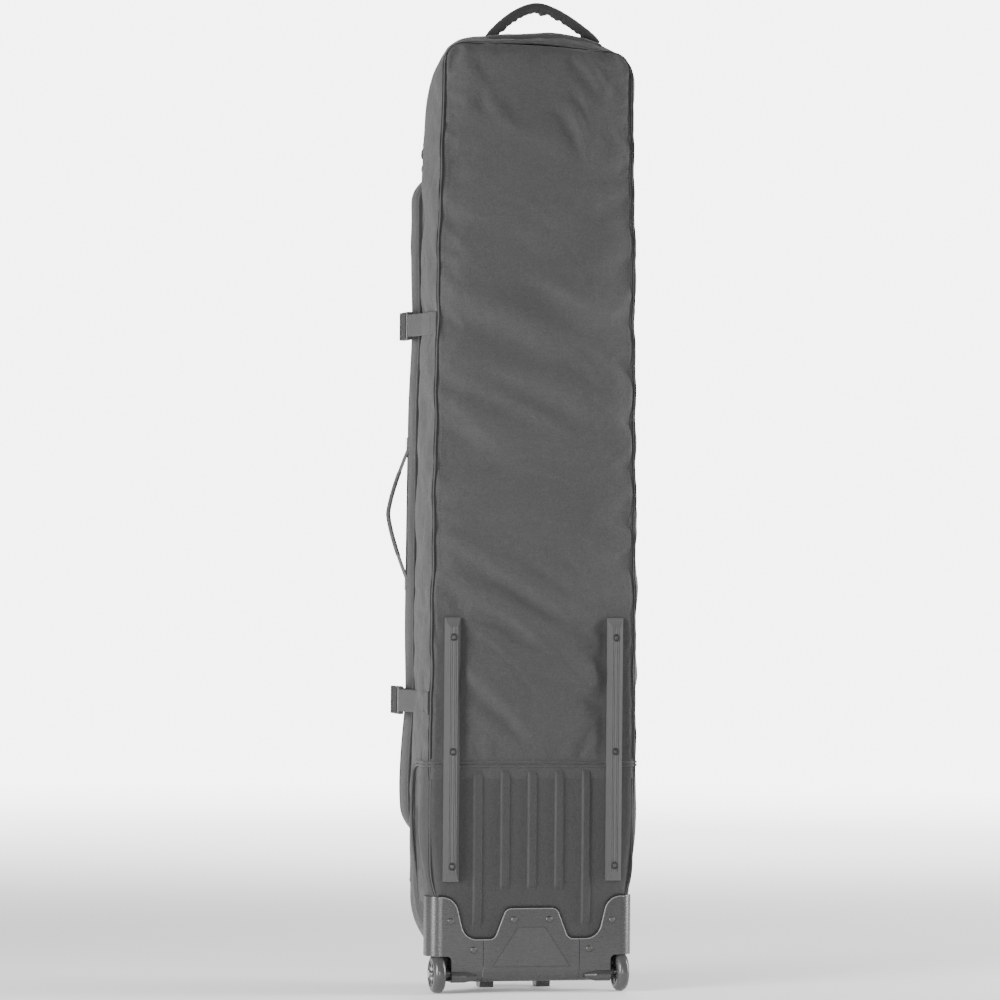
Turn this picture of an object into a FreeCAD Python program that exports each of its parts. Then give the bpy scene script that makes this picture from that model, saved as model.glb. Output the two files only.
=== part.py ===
"""Wheeled snowboard bag, standing on end. FreeCAD macro, millimetres.

Frame: +Z is up, +X is to the right of somebody who looks at the back panel, and +Y points from the
back panel to the lid. The origin is on the floor, midway between the sides and under the middle of
the bag's depth. Depths are counted from the outer face of the back panel, at y = back_y.
"""

import FreeCAD
import Part
import Sketcher

import math
import os
import re

document = FreeCAD.newDocument("SnowboardBag")
V = FreeCAD.Vector

# ---------------------------------------------------------------- driving dimensions

DIMENSIONS = {
    # Case
    "back_y": -114,            # outer face of the back panel
    "side_x": 178,             # half width of the case up to the waist
    "shoulder_x": 170,         # half width at the shoulders
    "waist_z": 900,            # the sides lean in above this height
    "shoulder_z": 1500,
    "top_z": 1616,
    "wall": 8,                 # padded wall
    "gap": 0.3,                # between neighbouring pieces
    "case_depth": 148,         # back panel to the zip
    "panel_x": 174,            # half width of the back panel at its foot
    "panel_top_x": 163,
    "panel_waist_z": 820,
    "panel_top_z": 1608,
    "panel_radius": 33,
    "panel_depth": 10,
    "hood_radius": 128,        # rounded corners of the toe
    "top_hood_radius": 80,
    "cap_radius": 60,
    "toe_z": 30,               # underside of the fabric toe
    "board_x": 158,            # stiffener board inside the back
    "board_low_z": 84,
    "board_high_z": 1560,
    "board_skin": 3,
    # Moulded lower back panel
    "moulded_low_z": 80.3,
    "moulded_high_z": 392,
    "moulded_x": 174.5,
    "moulded_depth": 95,
    "moulded_face": 1.3,       # depth of its outer face
    "rib_width": 14,
    "rib_pitch": 47.4,
    "rib_proud": 3,
    "rib_high_z": 378,
    "rib_low_z": 174,
    "rib_round": 1.5,
    "moulded_radius": 20.7,
    "moulded_inner_radius": 12.7,
    "outer_rib_low_z": 112,
    "piping_size": 4,
    # Moulded base
    "base_x": 179,
    "base_back": -3,           # depth of its outer face
    "base_depth": 36,
    "base_low_z": 18,
    "base_skin": 4,
    "base_radius": 24,
    "base_inner_radius": 20,
    "rim_round": 1.6,
    "split_x": 84,             # joint between a housing and the kick plate
    "split_gap": 0.4,
    "lobe_high_z": 165,
    "lobe_x": 134,
    "lobe_z": 163,
    "notch_outer_x": 117,
    "notch_inner_x": 64,
    "notch_z": 92,
    "crown_x": 44,
    "crown_z": 144,
    "lobe_radius": 28,
    "crown_radius": 13,
    "inlay_top_x": 24,
    "inlay_top_z": 112,
    "inlay_low_x": 69,
    "inlay_low_z": 44,
    "inlay_line": 1.6,
    "inlay_deep": 1,
    "foot_x": 50,
    "foot_width": 24,
    "foot_back": 106,
    "foot_front": 138,
    # Wheels
    "wheel_x": 160,
    "wheel_depth": 15,
    "wheel_radius": 33,
    "tyre_width": 21,
    "tyre_round": 9,
    "hub_radius": 22,
    "hub_width": 19,
    "hub_window": 3.8,
    "hub_window_ring": 16,
    "bearing_radius": 11,
    "bearing_width": 7,
    "bearing_bore": 4,
    "axle_radius": 3.95,
    "well_x": 139,             # inner wall of the wheel well
    "well_mouth_z": 63,
    "well_high_z": 69,
    "well_depth": 32,
    "well_lip": 2,
    "well_radius": 17,
    "well_corner": 8,
    "boss_radius": 8,
    "fairing_radius": 10.5,
    "fairing_depth": 4,
    "fairing_z": 28.6,
    "fairing_root_x": 114,
    "fairing_tip_x": 94,
    "fairing_tip_radius": 6,
    "nut_radius": 7.5,
    "nut_width": 6.5,
    "nut_room": 1.5,           # clearance round the nut
    # Skid rails
    "rail_x": 142,
    "rail_half": 14,
    "rail_proud": 14,
    "rail_low_z": 189,
    "rail_high_z": 635,
    "rail_ramp": 16,
    "rail_shoulder": 7,
    "rail_lip": 4,
    "groove_half": 0.7,
    "groove_x": 2.3,
    "outer_groove_x": 5,
    "rivet_radius": 4.2,
    "rivet_proud": 2,
    "rivet_round": 1.5,
    "base_rivet_radius": 5.5,
    "recess_radius": 6,
    "recess_deep": 1.6,
    "rail_rivet_low_z": 215.3,
    "rail_rivet_pitch": 193.25,
    # Lid
    "lid_low_z": 256,
    "lid_high_z": 1395,
    "lid_back": 152,
    "lid_front": 218,
    "lid_radius": 50,
    "lid_inner_radius": 42,
    "lid_top_x": 171.4,
    "zip_skin": 1.5,
    "zip_width": 12,
    "zip_end_x": 150,
    # Straps and buckles
    "web_width": 38,
    "web": 2,
    "upper_strap_z": 1133,
    "lower_strap_z": 490,
    "upper_standoff": 0,       # how far the buckle's strap stands off the case
    "lower_standoff": 10,
    "tab_front": 160,
    "tab_bend": 100,
    "tab_rise": 36,
    "tab_back": 8,
    "tab_fold": 2.5,
    "tab_fold_front": 16,
    "lap_back": 160,
    "anchor_front": 140,
    "buckle_width": 48,
    "buckle_thick": 11,
    "socket_back": 152,
    "socket_cavity": 163,
    "webbing_slot": 3.5,
    "buckle_round": 2.5,
    "socket_front": 184,
    "socket_skin": 2.2,
    "latch_front": 206,
    "prong_length": 15,
    "prong_width": 5,
    "prong_thick": 3.4,
    # Zip sliders and pulls
    "slider_x": 9,
    "slider_length": 13,
    "slider_depth": 9,
    "slider_thick": 5,
    "pull_length": 34,
    "pull_width": 7,
    "pull_thick": 1.6,
    # Haul handle
    "haul_x": 18,
    "haul_depth": 42,
    "haul_centre_z": 1580,     # centre of the arch
    "haul_arch_radius": 91,
    "haul_radius": 9,
    "haul_start": 35,          # degrees from level to each end of the arch
    "patch_half": 104,
    "patch_width": 46,
    "patch_thick": 2.5,
    # Side carry handle
    "carry_z": 810,
    "carry_depth": 190,
    "carry_half": 112,
    "carry_loop_half": 73,
    "carry_start_x": 190,
    "carry_bow": 24,
    "carry_thick": 3,
    "carry_width": 25,
    "carry_foot": 18,
}

sheet = document.addObject("Spreadsheet::Sheet", "Sizes")
for row, (alias, size) in enumerate(DIMENSIONS.items(), start=1):
    sheet.set(f"A{row}", alias)
    sheet.set(f"B{row}", str(size))
    sheet.setAlias(f"B{row}", alias)
document.recompute()


# ---------------------------------------------------------------- building helpers

nodes = []


def sized(expression):
    """The expression with each dimension's name made a reference to the sheet."""
    def referred(word):
        return "Sizes." + word.group() if word.group() in DIMENSIONS else word.group()

    return re.sub(r"[a-z_]+", referred, expression)


def bind(target, expressions):
    for path, expression in expressions.items():
        target.setExpression(path, sized(expression))


def place(target, x, y, z):
    """Puts the target at x, depth and height; the depth is counted from the back panel."""
    depth = f"back_y + ({y})"
    bind(target, {"Placement.Base.x": x, "Placement.Base.y": depth, "Placement.Base.z": z})
    return target


def node(target, label):
    """Marks the target as a finished sub-part, whose file has this name."""
    target.Label = label
    nodes.append(target)
    return target


def block(name, low, high):
    """A box between two corners, each given as x, depth and height."""
    box = document.addObject("Part::Box", name)
    spans = [f"({top}) - ({bottom})" for bottom, top in zip(low, high)]
    bind(box, {"Length": spans[0], "Width": spans[1], "Height": spans[2]})
    return place(box, *low)


def rod(name, radius, length, start, axis):
    """A round bar from start along axis, "X", "-X" or "Y"."""
    bar = document.addObject("Part::Cylinder", name)
    bind(bar, {"Radius": radius, "Height": length})
    turns = {"X": (V(0, 1, 0), 90), "-X": (V(0, 1, 0), -90), "Y": (V(1, 0, 0), -90)}
    bar.Placement = FreeCAD.Placement(V(), FreeCAD.Rotation(*turns[axis]))
    return place(bar, *start)


def fuse(name, parts):
    made = document.addObject("Part::MultiFuse", name)
    made.Shapes = parts
    return made


def group(name, parts):
    made = document.addObject("Part::Compound", name)
    made.Links = parts
    return made


def pair(kind, name, base, tool):
    made = document.addObject(kind, name)
    made.Base = base
    made.Tool = tool
    return made


def cut(name, base, tool):
    return pair("Part::Cut", name, base, tool)


def common(name, base, tool):
    return pair("Part::Common", name, base, tool)


def mirrored(name, source):
    """The same piece on the other side of the bag."""
    made = document.addObject("Part::Mirroring", name)
    made.Source = source
    made.Normal = V(1, 0, 0)
    return made


def rounded(name, source, radius, wanted):
    """A fillet of the sheet's radius on the source's edges for which wanted(edge) is true."""
    document.recompute()
    size = float(sheet.get(radius))
    made = document.addObject("Part::Fillet", name)
    made.Base = source
    made.Edges = [(i, size, size) for i, edge in enumerate(source.Shape.Edges, 1) if wanted(edge)]
    return made


def plane_of(body, role):
    return next(feature for feature in body.Origin.OriginFeatures if feature.Role == role)


def outline(body, name, role, corners):
    """A closed sketch through the corners, each corner held by two bound distances."""
    sketch = body.newObject("Sketcher::SketchObject", name)
    sketch.AttachmentSupport = [(plane_of(body, role), "")]
    sketch.MapMode = "FlatFace"
    turn = 2 * math.pi / len(corners)
    spots = [V(math.cos(i * turn), math.sin(i * turn), 0) for i in range(len(corners))]
    for here, there in zip(spots, spots[1:] + spots[:1]):
        sketch.addGeometry(Part.LineSegment(here, there))
    for i in range(len(corners)):
        sketch.addConstraint(Sketcher.Constraint("Coincident", i, 2, (i + 1) % len(corners), 1))
    for i, corner in enumerate(corners):
        for kind, expression in zip(("DistanceX", "DistanceY"), corner):
            index = sketch.addConstraint(Sketcher.Constraint(kind, -1, 1, i, 1, 1.0))
            sketch.renameConstraint(index, f"{kind}_{i}")
            sketch.setExpression(f"Constraints.{kind}_{i}", sized(expression))
    return sketch


def body_at(name, depth="0", height="0"):
    body = document.addObject("PartDesign::Body", name)
    return place(body, "0", depth, height)


def pad(body, name, role, corners, length, reverse=False):
    made = body.newObject("PartDesign::Pad", name)
    made.Profile = outline(body, name + "_sketch", role, corners)
    made.Reversed = reverse
    bind(made, {"Length": length})
    return made


def soften(body, name, radius, wanted):
    """A body fillet, its radius bound to the sheet, on the edges for which wanted(edge) is true."""
    document.recompute()
    base = body.Tip
    made = body.newObject("PartDesign::Fillet", name)
    made.Base = (base, [f"Edge{i}" for i, edge in enumerate(base.Shape.Edges, 1) if wanted(edge)])
    bind(made, {"Radius": radius})
    return made


def plate(name, corners, back, front):
    """A flat plate: an outline in x and height, from one depth to another."""
    body = body_at(name, back)
    pad(body, name + "_pad", "XZ_Plane", corners, f"({front}) - ({back})", reverse=True)
    return body


def both_sides(half):
    """Corners of the right half, from the bottom up, and then their mirror images."""
    left = [(f"-({x})", z) for x, z in reversed(half)]
    return half + left


def runs_along(edge, direction):
    start, end = edge.Vertexes[0].Point, edge.Vertexes[-1].Point
    way = end - start
    return way.Length > 1e-6 and abs(way.normalize().dot(direction)) > 0.999


def middle(edge):
    return edge.CenterOfMass


def corner_at(half_width, height, direction=V(0, 1, 0), slack=1.0):
    """A test for the edges that run front to back at +-half_width and this height."""
    x, z = float(sheet.get(half_width)), float(sheet.get(height))

    def wanted(edge):
        spot = middle(edge)
        return runs_along(edge, direction) and abs(abs(spot.x) - x) < slack and abs(spot.z - z) < slack

    return wanted


# ---------------------------------------------------------------- padded case

def back_panel():
    half = [
        ("panel_x", "moulded_high_z + gap"),
        ("panel_x", "panel_waist_z"),
        ("panel_top_x", "shoulder_z"),
        ("panel_top_x", "panel_top_z"),
    ]
    body = plate("BackPanel", both_sides(half), "0", "panel_depth")
    soften(body, "BackPanelCorners", "panel_radius", corner_at("panel_top_x", "panel_top_z"))
    node(body, "back_panel")


def back_stiffener():
    low = ("-board_x", "panel_depth + gap", "board_low_z")
    high = ("board_x", "panel_depth + gap + board_skin", "board_high_z")
    node(block("BackStiffener", low, high), "back_stiffener")


def gusset():
    """The side walls. The moulded panel and the hood fronts take their place near their ends."""
    corners = [
        ("side_x", "toe_z + hood_radius"),
        ("side_x", "waist_z"),
        ("shoulder_x", "shoulder_z"),
        ("shoulder_x - wall", "shoulder_z"),
        ("side_x - wall", "waist_z"),
        ("side_x - wall", "toe_z + hood_radius"),
    ]
    wall = plate("GussetWall", corners, "panel_depth + gap", "case_depth")
    inside, outside, hood_depth = "side_x - 4 * wall", "side_x + wall", "case_depth - wall - gap"
    rooms = [
        ("MouldedRoom", (inside, "0", "0"), (outside, "moulded_depth + gap", "moulded_high_z + gap")),
        ("LowHoodRoom", (inside, hood_depth, "0"), (outside, "case_depth + wall", "lid_low_z")),
        ("HighHoodRoom", (inside, hood_depth, "lid_high_z"), (outside, "case_depth + wall", "top_z")),
    ]
    right = cut("RightGusset", wall, fuse("GussetRooms", [block(*room) for room in rooms]))
    node(right, "right_gusset")
    node(mirrored("LeftGusset", right), "left_gusset")


def top_cap():
    """The strip that closes the case over the top."""
    outer = both_sides([("shoulder_x", "shoulder_z + gap"), ("shoulder_x - 3", "top_z")])
    inner = both_sides([("shoulder_x - wall", "shoulder_z"), ("shoulder_x - 3 - wall", "top_z - wall")])
    shell = plate("TopCapOuter", outer, "panel_depth + gap", "case_depth - wall - gap")
    top_edge = float(sheet.get("top_z"))
    inner_edge = top_edge - float(sheet.get("wall"))
    soften(shell, "TopCapCorners", "cap_radius", lambda e: at_height(e, top_edge))
    hollow = plate("TopCapInner", inner, "0", "case_depth")
    soften(hollow, "TopCapInnerCorners", "cap_radius - wall", lambda e: at_height(e, inner_edge))
    node(cut("TopCap", shell, hollow), "top_cap")


def at_height(edge, height):
    return runs_along(edge, V(0, 1, 0)) and abs(middle(edge).z - height) < 1.0


def hood_fronts():
    """The fixed fronts above and below the lid."""
    top = both_sides([("shoulder_x + 1", "lid_high_z + gap"), ("shoulder_x - 3", "top_z")])
    body = plate("TopHood", top, "case_depth - wall", "case_depth")
    soften(body, "TopHoodCorners", "top_hood_radius", lambda e: at_height(e, float(sheet.get("top_z"))))
    node(body, "top_hood_front")
    low = both_sides([("side_x", "toe_z"), ("side_x", "lid_low_z - gap")])
    body = plate("BottomHood", low, "case_depth - wall", "case_depth")
    soften(body, "BottomHoodCorners", "hood_radius", lambda e: at_height(e, float(sheet.get("toe_z"))))
    node(body, "bottom_hood_front")


def toe():
    """The fabric strip round the case's rounded foot, in front of the moulded base."""
    high = "toe_z + hood_radius - gap"
    shell = plate("ToeOuter", both_sides([("side_x", "toe_z"), ("side_x", high)]),
                  "base_depth + gap", "case_depth - wall - gap")
    soften(shell, "ToeCorners", "hood_radius - 1", lambda e: at_height(e, float(sheet.get("toe_z"))))
    inside = both_sides([("side_x - wall", "toe_z + wall"), ("side_x - wall", "lid_low_z")])
    hollow = plate("ToeInner", inside, "0", "case_depth")
    inner_low = float(sheet.get("toe_z")) + float(sheet.get("wall"))
    soften(hollow, "ToeInnerCorners", "hood_radius - 1 - wall", lambda e: at_height(e, inner_low))
    strip = cut("ToeStrip", shell, hollow)
    room = block("ToePanelRoom", ("-side_x - wall", "0", "moulded_low_z"),
                 ("side_x + wall", "moulded_depth + gap", "lid_low_z"))
    node(cut("Toe", strip, room), "toe_strip")


# ---------------------------------------------------------------- moulded lower back panel

def corner_shell(name, half, back, front, low, high, skin, radius):
    """A wall that runs across the back and forward along both sides, with rounded corners."""
    walls = []
    for step, (inset, reach) in enumerate((("0", "0"), (skin, "5"))):
        low_corner = (f"-({half}) + {inset}", f"{back} + {inset}", f"{low} - {reach}")
        high_corner = (f"({half}) - {inset}", f"{front} + {reach}", f"{high} + {reach}")
        walls.append(block(f"{name}Block{step}", low_corner, high_corner))
    document.recompute()
    y = min(vertex.Point.y for vertex in walls[0].Shape.Vertexes)
    outer = rounded(f"{name}Outer", walls[0], radius[0], lambda e: is_back_upright(e, y))
    y_inner = min(vertex.Point.y for vertex in walls[1].Shape.Vertexes)
    inner = rounded(f"{name}Inner", walls[1], radius[1], lambda e: is_back_upright(e, y_inner))
    return cut(f"{name}Shell", outer, inner)


def is_back_upright(edge, y):
    return runs_along(edge, V(0, 0, 1)) and abs(middle(edge).y - y) < 0.1


def lower_back_panel():
    shell = corner_shell("Moulded", "moulded_x", "moulded_face", "moulded_depth", "moulded_low_z",
                         "moulded_high_z", "wall", ("moulded_radius", "moulded_inner_radius"))
    ribs = []
    for step in range(-2, 3):
        low_z = "outer_rib_low_z" if abs(step) == 2 else "rib_low_z"
        low = (f"{step} * rib_pitch - rib_width / 2", "moulded_face - rib_proud", low_z)
        high = (f"{step} * rib_pitch + rib_width / 2", "moulded_face + 1", "rib_high_z")
        ribs.append(block(f"Rib{step + 3}", low, high))
    rib_bars = group("RibBars", ribs)
    document.recompute()
    front = rib_bars.Shape.BoundBox.YMin
    soft_ribs = rounded("SoftRibs", rib_bars, "rib_round", lambda edge: abs(middle(edge).y - front) < 0.1)
    node(fuse("LowerBackPanel", [shell, soft_ribs]), "lower_back_panel")


def panel_piping():
    """The double binding along the top of the moulded panel, between the rails and beside them."""
    strips = []
    spans = [("-panel_x", "-rail_x - rail_half - 1"), ("-rail_x + rail_half + 1", "rail_x - rail_half - 1"),
             ("rail_x + rail_half + 1", "panel_x")]
    heights = ("moulded_high_z - 1.2 * piping_size", "moulded_high_z + 0.3 * piping_size")
    for across, (left, right) in enumerate(spans):
        for step, low_z in enumerate(heights):
            low = (left, "-1.5", low_z)
            high = (right, "-0.1", f"{low_z} + piping_size")
            strips.append(block(f"Piping{across}{step}", low, high))
    node(group("PanelPiping", strips), "panel_piping")


# ---------------------------------------------------------------- moulded base

def base_moulding():
    """The whole moulded tray, before it is split into two housings and the kick plate."""
    walls = []
    for step, (inset, reach) in enumerate((("0", "0"), ("base_skin", "20"))):
        low = (f"-base_x + {inset}", f"base_back + {inset}", f"base_low_z + {inset}")
        high = (f"base_x - {inset}", f"base_depth + {reach}", f"lobe_high_z + 5 + {reach}")
        walls.append(block(f"BaseBlock{step}", low, high))
    outer = rounded("BaseOuter", walls[0], "base_radius", tray_edges(walls[0]))
    inner = rounded("BaseInner", walls[1], "base_inner_radius", tray_edges(walls[1]))
    tray = cut("BaseTray", outer, inner)
    half = [
        ("base_x + 10", "0"),
        ("base_x + 10", "lobe_high_z"),
        ("lobe_x", "lobe_z"),
        ("notch_outer_x", "notch_z"),
        ("notch_inner_x", "notch_z"),
        ("crown_x", "crown_z"),
    ]
    edge_line = plate("BaseEdgeLine", both_sides(half), "base_back - 10", "base_depth + 10")
    for name, x, z, radius in (("Lobes", "lobe_x", "lobe_z", "lobe_radius"),
                               ("OuterNotches", "notch_outer_x", "notch_z", "lobe_radius"),
                               ("InnerNotches", "notch_inner_x", "notch_z", "crown_radius"),
                               ("Crown", "crown_x", "crown_z", "crown_radius")):
        soften(edge_line, "Base" + name, radius, corner_at(x, z))
    blank = common("BaseMouldingBlank", tray, edge_line)
    document.recompute()
    bounds = blank.Shape.BoundBox
    radius = float(sheet.get("base_radius"))
    bend_y, bend_x = bounds.YMin + radius, bounds.XMax - radius
    outside = radius - 0.5 * float(sheet.get("base_skin"))

    def on_rim(edge):
        """An edge of the tray's top rim, on its outer skin."""
        spot = middle(edge)
        if spot.z < float(sheet.get("notch_z")) - 1 or runs_along(edge, V(0, 0, 1)):
            return False
        across, back = abs(spot.x) - bend_x, bend_y - spot.y
        if across > 0 and back > 0:
            return math.hypot(across, back) > outside and edge.Length > 5
        flat_back = abs(spot.y - bounds.YMin) < 0.1 and edge.BoundBox.YLength < 0.1
        return flat_back or (abs(abs(spot.x) - bounds.XMax) < 0.1 and edge.BoundBox.YLength > 5)

    return rounded("BaseMoulding", blank, "rim_round", on_rim)


def tray_edges(box):
    """The two back uprights and the bottom's back and side edges, which are rounded."""
    document.recompute()
    bounds = box.Shape.BoundBox

    def wanted(edge):
        spot = middle(edge)
        at_back, at_bottom = abs(spot.y - bounds.YMin) < 0.1, abs(spot.z - bounds.ZMin) < 0.1
        at_side = abs(abs(spot.x) - bounds.XMax) < 0.1
        return (at_back and at_bottom) or (at_back and at_side) or (at_bottom and at_side)

    return wanted


def outer_back_upright(box):
    """The upright of a right-hand box that is farthest out and farthest back."""
    document.recompute()
    bounds = box.Shape.BoundBox
    return lambda edge: (runs_along(edge, V(0, 0, 1)) and middle(edge).x > bounds.XMax - 0.1
                         and middle(edge).y < bounds.YMin + 0.1)


def well_space():
    """The room round the right wheel, open below, behind and in front."""
    mouth = block("WellMouth", ("well_x", "-20", "-10"), ("base_x + 20", "base_depth + 20", "well_mouth_z"))
    document.recompute()
    bounds = mouth.Shape.BoundBox
    arch = rounded("WellArch", mouth, "well_corner", lambda edge: runs_along(edge, V(0, 1, 0)) and
                   middle(edge).x < bounds.XMin + 0.1 and middle(edge).z > bounds.ZMax - 0.1)
    cavity = block("WellCavity", ("well_x", "base_back + well_lip", "base_low_z"),
                   ("base_x - base_skin - 1", "well_depth", "well_high_z"))
    return fuse("WellSpace", [arch, rounded("WellRound", cavity, "well_radius", outer_back_upright(cavity))])


def axle_fairing():
    """The streamlined bulge beside the wheel, on the back of the housing."""
    centre = ("fairing_depth", "fairing_z")
    bar = rod("Fairing", "fairing_radius", "well_x - fairing_root_x", ("well_x", *centre), "-X")
    tip = document.addObject("Part::Cone", "FairingTip")
    bind(tip, {"Radius1": "fairing_radius", "Radius2": "fairing_tip_radius",
               "Height": "fairing_root_x - fairing_tip_x"})
    tip.Placement = FreeCAD.Placement(V(), FreeCAD.Rotation(V(0, 1, 0), -90))
    return [bar, place(tip, "fairing_root_x", *centre)]


def wheel_housing(moulding):
    side = common("HousingSide", moulding, block("HousingSpan", ("split_x + split_gap", "-20", "0"),
                                                 ("base_x + 20", "base_depth + 20", "lobe_high_z + 20")))
    box = block("WellLiner", ("well_x - base_skin", "0", "base_low_z + 1"),
                ("base_x - base_skin", "well_depth + base_skin", "well_high_z + base_skin"))
    liner = rounded("WellLinerRound", box, "base_inner_radius", outer_back_upright(box))
    hollow = cut("HousingHollow", fuse("HousingSolid", [side, liner, *axle_fairing()]), well_space())
    axle = ("wheel_depth", "wheel_radius")
    boss = rod("AxleBoss", "boss_radius", "wheel_x - tyre_width / 2 - 0.4 - well_x + 1",
               ("well_x - 1", *axle), "X")
    hole = rod("AxleHole", "bearing_bore", "40", ("well_x - 15", *axle), "X")
    pocket = rod("NutPocket", "nut_radius + nut_room", "nut_width + 4",
                 ("well_x - base_skin - nut_width - 4", *axle), "X")
    right = cut("RightHousing", fuse("HousingWithBoss", [hollow, boss]), fuse("AxleRoom", [hole, pocket]))
    node(right, "wheel_housing_right")
    node(mirrored("LeftHousing", right), "wheel_housing_left")


def kick_plate(moulding):
    """The middle moulding, with a fine engraved outline that widens towards the floor."""
    span = block("KickSpan", ("split_gap - split_x", "-20", "0"),
                 ("split_x - split_gap", "base_depth + 20", "lobe_high_z + 20"))
    middle_part = common("KickPlateBlank", moulding, span)
    outer = plate("InlayOuter", both_sides([("inlay_low_x", "inlay_low_z"), ("inlay_top_x", "inlay_top_z")]),
                  "base_back - 1", "base_back + inlay_deep")
    narrower = [("inlay_low_x - 2 * inlay_line", "inlay_low_z + inlay_line"),
                ("inlay_top_x - 0.6 * inlay_line", "inlay_top_z - inlay_line")]
    inner = plate("InlayInner", both_sides(narrower), "base_back - 2", "base_back + 2")
    node(cut("KickPlate", middle_part, cut("Inlay", outer, inner)), "kick_plate_centre")


def front_feet():
    body = document.addObject("PartDesign::Body", "FrontFoot")
    place(body, "foot_x - foot_width / 2", "0", "0")
    profile = [("foot_back", "toe_z - gap"), ("foot_back + 4", "0"), ("foot_front - 6", "0"),
               ("foot_front", "6"), ("foot_front", "toe_z - gap")]
    pad(body, "FrontFootPad", "YZ_Plane", profile, "foot_width")
    node(body, "front_foot_right")
    node(mirrored("FrontFootLeft", body), "front_foot_left")


def rivet_heads(name, spots, radius, floor):
    """Low domed heads whose undersides lie at the floor's depth."""
    heads = []
    for step, (x, z) in enumerate(spots):
        start = (x, f"{floor} - rivet_proud", z)
        head = rod(f"{name}{step}", radius, "rivet_proud", start, "Y")
        document.recompute()
        front = head.Shape.BoundBox.YMin
        heads.append(rounded(f"{name}Dome{step}", head, "rivet_round", face_rim(front)))
    return group(name, heads)


def face_rim(depth):
    def wanted(edge):
        bounds = edge.BoundBox
        return abs(bounds.YMin - depth) < 0.01 and bounds.YLength < 0.01

    return wanted


def base_rivets():
    spots = []
    for side in ("", "-"):
        spots += [(side + "141", "122"), (side + "101", "73.4"), (side + "30.6", "124")]
    node(rivet_heads("BaseRivets", spots, "base_rivet_radius", "base_back"), "base_rivets")


# ---------------------------------------------------------------- skid rails

def skid_rails():
    half = [
        ("rail_half", "-gap"),
        ("rail_half", "-rail_lip"),
        ("rail_half - rail_shoulder", "-rail_proud"),
    ]
    for centre in ("outer_groove_x", "groove_x"):
        half += [(f"{centre} + groove_half", "-rail_proud"), (centre, "groove_half - rail_proud"),
                 (f"{centre} - groove_half", "-rail_proud")]
    length = "rail_high_z - rail_low_z"
    section = document.addObject("PartDesign::Body", "RailSection")
    place(section, "rail_x", "0", "rail_low_z")
    pad(section, "RailSectionPad", "XY_Plane", both_sides(half), length)
    side_view = [("0", "0"), ("-rail_lip", "0"), ("-rail_proud", "rail_ramp"),
                 ("-rail_proud", f"{length} - rail_ramp"), ("-rail_lip", length), ("0", length)]
    profile = document.addObject("PartDesign::Body", "RailProfile")
    place(profile, "rail_x - rail_half - 1", "0", "rail_low_z")
    pad(profile, "RailProfilePad", "YZ_Plane", side_view, "2 * rail_half + 2")
    bar = common("RailBar", section, profile)
    recesses = []
    spots = []
    for step in range(3):
        height = f"rail_rivet_low_z + {step} * rail_rivet_pitch"
        spots += [("rail_x", height), ("-rail_x", height)]
        start = ("rail_x", "-rail_proud - 1", height)
        recesses.append(rod(f"RailRecess{step}", "recess_radius", "recess_deep + 1", start, "Y"))
    right = cut("RightRail", bar, fuse("RailRecesses", recesses))
    node(right, "skid_rail_right")
    node(mirrored("LeftRail", right), "skid_rail_left")
    node(rivet_heads("RailRivets", spots, "rivet_radius", "recess_deep - rail_proud"), "rail_rivets")


# ---------------------------------------------------------------- wheels

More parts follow.
